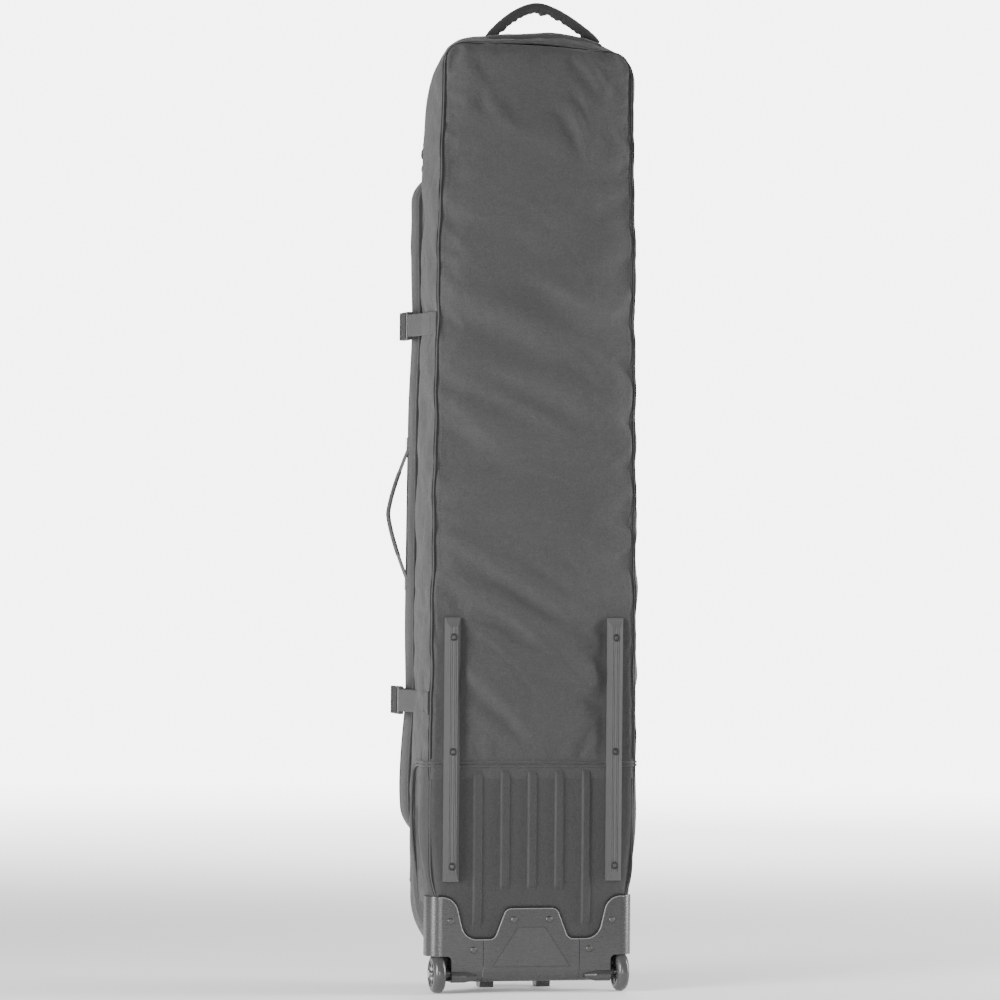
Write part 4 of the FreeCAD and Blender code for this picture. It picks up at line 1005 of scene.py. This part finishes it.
def make_wheel_well_shade():
    """An upright plate on each wheel's inner side, and a mudguard that follows its tyre; both are near-black,
    painted shade inside the wells.
    """
    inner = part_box("right_tyre")[0].x - 0.0016
    for side, label in SIDES:
        x, y = side * (inner - 0.0125), BASE_Y - 0.0035
        guard = band(f"well_shade_guard_{label}", evenly([(x, y, 0.019), (x, y, 0.072)], 0.004), (1.0, 0.0, 0.0),
                     0.025, 0.0030, corner=0.2)
        finish_piece(guard, SHADE_BLACK, "case")
        low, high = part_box(f"{label}_tyre")
        hub_y, hub_z = (low.y + high.y) / 2, (low.z + high.z) / 2
        radius = (high.z - low.z) / 2 + 0.0036
        arc = [(side * (inner + 0.0015), hub_y + radius * math.cos(a), hub_z + radius * math.sin(a))
               for a in np.radians(np.linspace(100, -22, 40))]
        mudguard = band(f"mudguard_{label}", arc, (1.0, 0.0, 0.0), 0.024, 0.0016, corner=0.2)
        finish_piece(mudguard, SHADE_BLACK, "case")


# ---------------------------------------------------------------- lid

# The lid's side as (outwards, depth past the zip), and its turn to the front as (outwards, past lid_edge).
LID_SIDE = ((-0.006, 0.0), (-0.001, 0.002), (0.002, 0.008), (0.004, 0.018), (0.0045, 0.029), (0.0035, 0.040),
            (0.0005, 0.049))
LID_TURN = ((-0.0005, -0.006), (-0.004, -0.001), (-0.009, 0.0012))


def lid_ring(out, back=0.0, from_edge=None):
    """The lid's outline this far outside its half width, at a depth past the zip or past lid_edge."""
    outline = loop(lambda z: lid_half(z) + out, LID_LOW - out * 0.6, LID_HIGH + out * 0.6, LID_RADIUS,
                   LID_RADIUS, sides=110)
    if from_edge is None:
        y = np.full(len(outline), ZIP_Y + 0.0045 + back)
    else:
        y = lid_edge(outline[:, 1]) + from_edge
    return np.stack([outline[:, 0], y, outline[:, 1]], axis=1)


def make_lid():
    rows = [lid_ring(out, back) for out, back in LID_SIDE]
    rows += [lid_ring(out, 0.0, from_edge) for out, from_edge in LID_TURN]
    points = np.array(rows)
    deep = points[..., 1] - ZIP_Y
    free = smooth(0.003, 0.02, deep) * (1 - smooth(0.045, 0.055, deep))
    folds = creases(41, 26, (0.0, 0.06), (0.28, 1.34), (65, 115), (0.02, 0.06), (0.006, 0.011),
                    (0.0006, 0.0018))
    side = np.where(points[..., 0] < 0, -1.0, 1.0)
    lift = (folds(deep + 0.004 * side, points[..., 2]) + rumple(points, 0.04, 0.0014, 6)) * free
    points[..., 0] += side * lift
    ring = sheet("lid_side_fabric", points, flip=True, round_columns=True)
    thicken(ring, SKIN * 0.8)
    finish_piece(ring, CASE, "lid", ["lid_gusset"])

    x, z, u, share = face_rows(lambda z: lid_half(z) - 0.0085, LID_LOW + 0.0053, LID_HIGH - 0.0053,
                               LID_RADIUS - 0.004, LID_RADIUS - 0.004)
    crown = (1 - np.abs(u) ** 2.6)[None, :] * (1 - np.abs(2 * share - 1) ** 10)[:, None]
    fold = creases(51, 16, (-0.14, 0.14), (0.30, 1.33), (-70, -20), (0.05, 0.14), (0.014, 0.028),
                   (0.0015, 0.0035))
    lift = 0.007 * crown + fold(x, z) * crown
    for height in strap_heights():
        lift -= 0.0045 * np.exp(-((z - height) / 0.026) ** 2) * crown
    points = np.stack([x, lid_edge(z) + 0.0012 + lift, z], axis=2)
    front = sheet("lid_front_fabric", points, flip=True)
    held = border(x.shape)
    for height in strap_heights():
        held |= np.abs(z - height) < STRAP_HALF
    relaxed(front, held.ravel(), 1.6, 0.016, 0.0055, bending=2.0)
    thicken(front, SKIN)
    finish_piece(front, CASE, "lid", ["lid_front"])

    piping_line = lid_ring(-0.0025, 0.0, -0.0015)
    piping_line = np.concatenate([piping_line, piping_line[:2]])
    piping = tube("lid_piping", evenly(piping_line, 0.005), 0.0022, sides=8)
    finish_piece(piping, BINDING, "lid")


def strap_place(label):
    """Height of a strap's middle, and its width."""
    low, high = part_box(f"{label}_strap")
    return (low.z + high.z) / 2, high.z - low.z


def strap_heights():
    return [strap_place(label)[0] for label in STRAPS]


ZIP_STOP_X = 0.150         # the zip ends here on the hinge side
TOOTH = ((-0.0008, -0.0012), (0.0008, -0.0012), (0.0011, 0.0), (0.0008, 0.0012), (-0.0008, 0.0012),
         (-0.0011, 0.0))     # outline of a tooth, along the zip and in depth
TOOTH_HALF = 0.0016        # half its width across the zip


def zip_run(ring):
    """Which points of a lid ring the zip passes, in order from one stop to the other."""
    order = np.nonzero(ring[:, 0] < ZIP_STOP_X)[0]
    return np.roll(order, -int(np.argmax(np.diff(order))) - 1)


def make_zip():
    """Two tapes and two rows of teeth round the lid, which stop at the hinge side."""
    order = zip_run(lid_ring(0.0))
    for label, body, back in (("body", "case", -0.0022), ("lid", "lid", -0.0006)):
        points = np.array([lid_ring(out)[order] for out in (0.0, -0.003, -0.007, -0.012)])
        points[..., 1] = ZIP_Y + 0.0030 + back
        points[..., 1] += np.array([0.0, 0.0003, 0.0003, 0.0])[:, None]
        tape = sheet(f"zip_tape_{label}_weave", points)
        thicken(tape, 0.0009, levels=0)
        finish_piece(tape, TAPE, body, [f"zip_tape_{label}"])
    line = lid_ring(-0.0008)
    line[:, 1] = ZIP_Y + 0.0021
    line = line[zip_run(line)]
    spots = evenly(line, 0.0028)
    for label, body, parity in (("body", "case", 0), ("lid", "lid", 1)):
        verts, faces = [], []
        for index in range(parity, len(spots) - 1, 2):
            way = spots[index + 1] - spots[index]
            way /= np.linalg.norm(way)
            out = np.cross(way, (0.0, 1.0, 0.0))
            first = len(verts)
            for side in (-1, 1):
                for lean, high in TOOTH:
                    centre = spots[index] + way * lean + np.array((0.0, high, 0.0))
                    verts.append(centre + out * side * TOOTH_HALF)
            for turn in range(6):
                after = (turn + 1) % 6
                faces.append((first + turn, first + after, first + 6 + after, first + 6 + turn))
            faces += [tuple(range(first + 5, first - 1, -1)), tuple(range(first + 6, first + 12))]
        teeth = mesh_object(f"zip_coil_{label}", verts, faces)
        finish_piece(teeth, BINDING, body)


def make_hinge():
    """The fabric hinge down the right side, between the case and the lid."""
    heights = np.linspace(LID_LOW + LID_RADIUS, LID_HIGH - LID_RADIUS, 90)
    rows = []
    for deep, out in ((-0.010, -0.0035), (-0.004, -0.001), (0.0005, 0.0004), (0.0035, 0.0004), (0.008, -0.001),
                      (0.014, -0.0015)):
        rows.append([(float(full_half(z)) + out - 0.0012, ZIP_Y + deep, z) for z in heights])
    strip = applied(thicken(sheet("hinge_fabric", np.array(rows), flip=True), 0.0016))
    finish_piece(strip, BINDING)
    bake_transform(strip)


# ---------------------------------------------------------------- straps

def box_stitch(name, corners, body):
    """A sewn box with a cross in it, given by its four corners in order."""
    a, b, c, d = [np.array(corner) for corner in corners]
    stitches(name, [[a, b], [b, c], [c, d], [d, a], [a, c], [b, d]], body=body)


def strap_webbing(name, corners, radius, pitch, label):
    """A length of strap webbing through (x, y) corners, at its strap's height and width."""
    height, width = strap_place(label)
    path = rounded_path([(x, y, height) for x, y in corners], radius, pitch)
    return band(name, path, UPRIGHT, width, 0.0021)


def strap_stitches(name, near, far, crossings, label):
    """A row of stitches along each edge of a strap's sewn end, from near to far, and rows across it."""
    height, width = strap_place(label)
    low, high = height - width / 2 + 0.003, height + width / 2 - 0.003
    rows = [[(*near, edge), (*far, edge)] for edge in (low, high)]
    rows += [[(near[0], y, low), (near[0], y, high)] for y in crossings]
    stitches(name, rows, body="case", thick=0.0005)


def make_tab(label, buckle_x, start):
    """The tab sewn into the case's seam on the left, which ends round the socket's bar."""
    height, width = strap_place(label)
    case_x, seam_x = -float(full_half(height)) - 0.0018, -float(seam_half(height))
    slot_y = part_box(f"{label}_buckle_socket")[0].y + 0.0045
    corners = [(seam_x - 0.001, start + 0.001), (case_x + 0.002, start + 0.020), (case_x, start + 0.085),
               (buckle_x - 0.0015, slot_y - 0.010), (buckle_x - 0.003, slot_y + 0.001),
               (buckle_x + 0.0035, slot_y + 0.0015), (buckle_x + 0.0035, slot_y - 0.012),
               (case_x + 0.0024, start + 0.108)]
    tab = strap_webbing(f"{label}_tab_webbing", corners, 0.006, 0.003, label)
    finish_piece(tab, WEBBING, "case", [f"{label}_strap_tab"])
    # Painted shade: the tab's near-black end stands for the shadow where the tab lifts off the case.
    ending = [(seam_x - 0.0010, start + 0.0005, height), (seam_x - 0.0022, start + 0.0032, height)]
    fold = band(f"{label}_tab_shaded_fold", evenly(ending, 0.001), UPRIGHT, width + 0.002, 0.0036, corner=0.5)
    finish_piece(fold, SHADE_WELT, "case")
    run_x = case_x - 0.0014
    strap_stitches(f"{label}_tab_stitches", (run_x + 0.001, start + 0.022), (run_x, start + 0.060),
                   (start + 0.024, start + 0.028), label)


def make_lid_strap(label, buckle_x, right):
    """The strap from the latch's bar, across the lid's front, to the hinge side."""
    height, _ = strap_place(label)
    front = float(lid_edge(height)) + 0.0055
    slot_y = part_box(f"{label}_buckle_latch")[1].y - 0.0048
    corners = [(buckle_x + 0.0055, slot_y - 0.022), (buckle_x + 0.0045, slot_y + 0.001),
               (buckle_x - 0.0035, slot_y + 0.001), (buckle_x - 0.002, slot_y + 0.010),
               (-right + 0.004, front - 0.001), (-right + 0.030, front + 0.004),
               (-0.09, front + 0.0065), (0.09, front + 0.0065),
               (right - 0.030, front + 0.004), (right - 0.002, front - 0.002),
               (right, front - 0.030), (right - 0.0015, HINGE_Y + 0.010)]
    strap = strap_webbing(f"{label}_strap_webbing", corners, 0.012, 0.004, label)
    finish_piece(strap, WEBBING, replaces=[f"{label}_strap"])
    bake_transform(strap)


def make_anchor(label, start, right):
    """The strap's other end, sewn into the seam on the right, and its bridge over the hinge."""
    height, _ = strap_place(label)
    anchor_x = float(full_half(height)) + 0.0018
    corners = [(float(seam_half(height)) + 0.001, start + 0.001), (anchor_x - 0.002, start + 0.020),
               (anchor_x, start + 0.060), (anchor_x, HINGE_Y - 0.010)]
    anchor = strap_webbing(f"{label}_anchor_webbing", corners, 0.010, 0.004, label)
    finish_piece(anchor, WEBBING, "case", [f"{label}_strap_anchor"])
    corners = [(anchor_x, HINGE_Y - 0.012), (anchor_x + 0.0006, HINGE_Y), (right - 0.0015, HINGE_Y + 0.012)]
    bridge = strap_webbing(f"{label}_strap_bridge", corners, 0.006, 0.0015, label)
    finish_piece(bridge, WEBBING)
    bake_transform(bridge)
    face_x = anchor_x + 0.0014
    strap_stitches(f"{label}_anchor_stitches", (face_x, start + 0.024), (face_x, start + 0.060),
                   (start + 0.026,), label)


def make_straps():
    for label in STRAPS:
        socket_low, socket_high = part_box(f"{label}_buckle_socket")
        buckle_x = (socket_low.x + socket_high.x) / 2
        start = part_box(f"{label}_strap_tab")[0].y
        right = float(lid_half(strap_place(label)[0])) + 0.0055
        make_tab(label, buckle_x, start)
        make_lid_strap(label, buckle_x, right)
        make_anchor(label, start, right)


# ---------------------------------------------------------------- handles

def make_haul_handle():
    low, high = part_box("haul_handle")
    centre_x, centre_y = (low.x + high.x) / 2, (low.y + high.y) / 2
    thick = high.y - low.y
    foot_z = case_top(centre_x, centre_y - BACK_Y) + 0.001
    apex_x, apex_z = centre_x - 0.0085, high.z - thick / 2 + 0.0035
    places = np.linspace(-1, 1, 170)
    reach = np.where(places < 0, 1.22 * (apex_x - low.x), 1.16 * (high.x - apex_x))
    drop = np.where(places < 0, np.abs(places) ** 1.8, np.abs(places) ** 1.5)
    path = np.stack([apex_x + reach * places, np.full(len(places), centre_y),
                     apex_z - (apex_z - foot_z + 0.016) * drop], axis=1)
    path, _, flat, outward = frames_along(evenly(path, 0.0016), (0.0, 1.0, 0.0))
    run = lengths_along(path)
    around = np.linspace(0, 2 * math.pi, 28, endpoint=False)
    rings = []
    draw = random.Random(3)
    waves = [(draw.uniform(20, 58), draw.uniform(0, 6.28), draw.uniform(0.5, 1.0)) for _ in range(7)]
    for centre, side, out, share in zip(path, flat, outward, run / run[-1]):
        end = 1 - float(smooth(0.0, 0.07, share)) * float(1 - smooth(0.93, 1.0, share))
        ruffle = sum(size * math.sin(2.6 * rate * share + phase) for rate, phase, size in waves) / len(waves)
        gather = math.exp(-((share - 0.5) / 0.035) ** 2)
        ring = []
        for angle in around:
            under = max(0.0, -math.cos(angle))
            radius = thick / 2 * (0.98 - 0.22 * end)
            radius += 0.0036 * ruffle * (0.16 + under ** 0.6) * (1 - end)
            radius += 0.0042 * gather * under ** 2 + 0.0005 * math.sin(7 * angle) * gather
            radius -= 0.0012 * math.exp(-((abs(share - 0.5) - 0.055) / 0.012) ** 2) * under
            wide = 1 + 0.45 * end
            ring.append(centre + out * math.cos(angle) * radius + side * math.sin(angle) * radius * wide)
        rings.append(ring)
    grip = closed_tube("haul_handle_grip", rings, run, around * thick / 2)
    finish_piece(grip, HANDLE, replaces=["haul_handle"])
    modifier(grip, "SUBSURF", levels=1, render_levels=1)
    applied(grip)
    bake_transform(grip)


def make_handle_patch():
    """The patch under the haul handle, which lies on the case's top and turns down into it at its edges."""
    patch_low, patch_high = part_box("handle_patch")
    xs = np.linspace(patch_low.x, patch_high.x, 60)
    ys = np.linspace(patch_low.y, patch_high.y, 16)
    points = np.zeros((len(ys), len(xs), 3))
    for i, y in enumerate(ys):
        for j, x in enumerate(xs):
            inside = min(x - xs[0], xs[-1] - x, y - ys[0], ys[-1] - y)
            lift = 0.0018 * float(smooth(-0.002, 0.004, inside))
            lift += 0.0004 * math.sin(170 * x) * math.sin(200 * y)
            lift -= 0.009 * (1 - float(smooth(0.0, 0.002, inside)))
            points[i, j] = (x, y, case_top(x, y - BACK_Y) + lift)
    patch = sheet("handle_patch_fabric", points)
    thicken(patch, 0.0022)
    finish_piece(patch, CASE, "case", ["handle_patch"])
    rows = []
    for inset in (0.004, 0.0075):
        line = [(patch_low.x + inset, patch_low.y + inset), (patch_high.x - inset, patch_low.y + inset),
                (patch_high.x - inset, patch_high.y - inset), (patch_low.x + inset, patch_high.y - inset),
                (patch_low.x + inset, patch_low.y + inset)]
        path = evenly([(x, y, 0.0) for x, y in line], 0.004)
        rows.append([(x, y, case_top(x, y - BACK_Y) + 0.0024) for x, y, _ in path])
    stitches("handle_patch_stitches", rows)


def make_carry_handle():
    """One webbing strap sewn down at both ends, with a thicker grip, which bows out from the lid's side."""
    low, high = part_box("carry_handle")
    ends_low, ends_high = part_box("carry_handle_ends")
    centre_y, centre_z = (low.y + high.y) / 2, (low.z + high.z) / 2
    width, reach = high.y - low.y, (ends_high.z - ends_low.z) / 2
    skin = -float(lid_half(centre_z)) - 0.0045
    bow = skin - low.x - 0.002

    def route(foot):
        """From below the handle to above it; foot is the sewn length past each root."""
        places = np.linspace(-reach - foot, reach + foot, 90)
        share = np.clip(np.abs(places) / reach, 0, 1)
        return [(-float(lid_half(centre_z + z)) - 0.0030 - bow * (1 - s ** 1.35), centre_y, centre_z + z)
                for s, z in zip(share, places)]

    strap = band("carry_handle_webbing", evenly(route(0.020), 0.004), (0.0, 1.0, 0.0), width * 0.92, 0.0026)
    finish_piece(strap, WEBBING, replaces=["carry_handle", "carry_handle_ends"])
    middle = [p for p in route(0.0) if abs(p[2] - centre_z) < reach * 0.66]
    grip = band("carry_handle_grip", evenly(middle, 0.004), (0.0, 1.0, 0.0), width, 0.0040, corner=0.5)
    finish_piece(grip, HANDLE)
    for piece in (strap, grip):
        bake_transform(piece)
    for side, label in ((-1, "low"), (1, "high")):
        near, far = centre_z + side * (reach + 0.002), centre_z + side * (reach + 0.018)
        face, half = skin - 0.0016, width * 0.38
        corners = [(face, centre_y - half, near), (face, centre_y + half, near),
                   (face, centre_y + half, far), (face, centre_y - half, far)]
        box_stitch(f"carry_box_stitch_{label}", corners, "lid")


# ---------------------------------------------------------------- seams and the inside

def make_seams():
    """A near-black welt, painted shade along the seam, and a row of stitches along the back panel's seam."""
    low, turn_z = PANEL_HIGH + 0.004, back_top() - TOP_CORNER
    turn_x = float(seam_half(turn_z)) - TOP_CORNER

    def seam_line(inset, y):
        """Up the left of the back panel, over its top and down its right, this far inside its edge."""
        radius = TOP_CORNER - inset
        line = [(-float(seam_half(z)) + inset, z) for z in np.linspace(low, turn_z, 230)]
        line += [(-turn_x - radius * math.cos(turn), turn_z + radius * math.sin(turn))
                 for turn in np.linspace(0, math.pi / 2, 16)[1:]]
        line += [(-x, z) for x, z in reversed(line)]
        x, z = np.array(line).T
        return np.stack([x, np.full(len(x), y), z - top_sag(x, z)], axis=1)

    # Painted shade: the welt's near-black stands for the seam's shadow line.
    welt = tube("back_seam_shade_welt", evenly(seam_line(0.0009, BACK_Y + 0.0010), 0.005), 0.0009, sides=8)
    finish_piece(welt, SHADE_WELT, "case")
    line = seam_line(0.0075, BACK_Y - 0.0014)
    below_corner = 215
    stitches("back_seam_stitches", [line[:below_corner], line[-below_corner:]], pitch=0.0050, length=0.0034,
             thick=0.00035)


def make_lining():
    """The lining on the stiffener board's inner face."""
    low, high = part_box("back_stiffener")
    x = np.linspace(low.x - 0.008, high.x + 0.008, 30)
    z = np.linspace(low.z, high.z, 90)
    grid_x, grid_z = np.meshgrid(x, z)
    folds = creases(61, 10, (-0.13, 0.13), (0.2, 1.5), (-60, 60), (0.05, 0.12), (0.012, 0.024),
                    (0.001, 0.003))
    points = np.stack([grid_x, high.y + 0.003 + 0.5 * folds(grid_x, grid_z), grid_z], axis=2)
    lining = sheet("board_lining", points, flip=True)
    thicken(lining, 0.0015)
    finish_piece(lining, LINING, "case")


# ---------------------------------------------------------------- studio

AMBIENT = 0.34             # light from the white surround
SURROUND = 6.0             # how bright the camera sees it


def make_floor():
    """A round sheet of pale paper that fades into the white surround."""
    rings, spokes, reach = 40, 96, 9.0
    radii = reach * np.linspace(0.0001, 1.0, rings) ** 1.5
    turns = np.linspace(0, 2 * math.pi, spokes, endpoint=False)
    rows = [[(r * math.cos(a), r * math.sin(a), 0.0) for a in turns] for r in radii]
    floor = sheet("studio_floor", np.array(rows), round_columns=True)
    graph = Graph("studio_paper")
    where = graph.add("TexCoord", output="Object")
    tone = graph.ramp(graph.noise(where, 1.5), [(0.3, grey(0.88)), (0.7, grey(0.90))])
    away = graph.add("VectorMath", {0: where}, output="Value", operation="LENGTH")
    fade = graph.add("MapRange", {"Value": away, "From Min": 1.2, "From Max": 7.5, "To Min": 1.0,
                                  "To Max": 0.0}, interpolation_type="SMOOTHSTEP")
    graph.tree.links.new(fade, graph.shader.inputs["Alpha"])
    floor.data.materials.append(graph.finish(tone, graph.spread(graph.noise(where, 4.0), 0.85, 0.95),
                                             graph.bump(graph.noise(where, 300.0), 0.0001),
                                             Emission_Strength=0.16, Emission_Color=(1.0, 1.0, 1.0, 1.0)))


def make_surround():
    """A white surround, which the camera sees brighter than it lights the bag."""
    world = bpy.data.worlds.new("studio")
    world.use_nodes = True
    tree = world.node_tree
    background = tree.nodes["Background"]
    background.inputs["Color"].default_value = (1.0, 1.0, 1.0, 1.0)
    seen = tree.nodes.new("ShaderNodeLightPath").outputs["Is Camera Ray"]
    strength = tree.nodes.new("ShaderNodeMapRange")
    strength.inputs["To Min"].default_value = AMBIENT
    strength.inputs["To Max"].default_value = SURROUND
    tree.links.new(seen, strength.inputs["Value"])
    tree.links.new(strength.outputs[0], background.inputs["Strength"])
    bpy.context.scene.world = world


# Each soft light's name, place, size and power. All of them face the bag's middle.
LIGHTS = (("softbox_left", (-2.9, -1.45, 1.1), (1.3, 2.4), 215.0),
          ("softbox_right", (2.6, -0.3, 1.2), (0.8, 2.4), 120.0),
          ("softbox_front", (-0.6, -4.6, 0.5), (1.8, 1.2), 90.0),
          ("softbox_far", (1.4, 4.0, 1.9), (1.6, 1.6), 100.0))
LIT_SPOT = Vector((0.0, 0.0, 0.85))


def make_lights():
    for name, spot, size, power in LIGHTS:
        light = bpy.data.lights.new(name, "AREA")
        light.shape = "RECTANGLE"
        light.size, light.size_y = size
        light.energy = power
        lamp = link(bpy.data.objects.new(name, light))
        lamp.location = spot
        lamp.visible_camera = False
        lamp.rotation_euler = (LIT_SPOT - Vector(spot)).to_track_quat("-Z", "Y").to_euler()


def make_camera():
    place = Vector((-2.045, -8.078, 0.758))
    yaw, pitch, roll = math.radians(13.99), math.radians(0.53), math.radians(0.49)
    camera = link(bpy.data.objects.new("camera", bpy.data.cameras.new("camera")))
    camera.data.sensor_width = 36.0
    camera.data.lens = 174.6
    camera.data.clip_end = 60.0
    forward = Vector((math.sin(yaw) * math.cos(pitch), math.cos(yaw) * math.cos(pitch), math.sin(pitch)))
    right = Vector((math.cos(yaw), -math.sin(yaw), 0.0))
    up = right.cross(forward)
    tilted_right = math.cos(roll) * right + math.sin(roll) * up
    tilted_up = math.cos(roll) * up - math.sin(roll) * right
    turned = Matrix((tilted_right, tilted_up, -forward)).transposed().to_4x4()
    camera.matrix_world = Matrix.Translation(place) @ turned
    bpy.context.scene.camera = camera


# ---------------------------------------------------------------- the whole bag

make_floor()
make_surround()
make_lights()
make_camera()
dress_frame()
make_case()
make_back_panel()
make_hoods()
make_moulded_panel()
make_rivet_shade_rings()
make_base_edge()
make_wheel_well_shade()
make_lid()
make_zip()
make_hinge()
make_straps()
make_haul_handle()
make_handle_patch()
make_carry_handle()
make_seams()
make_lining()
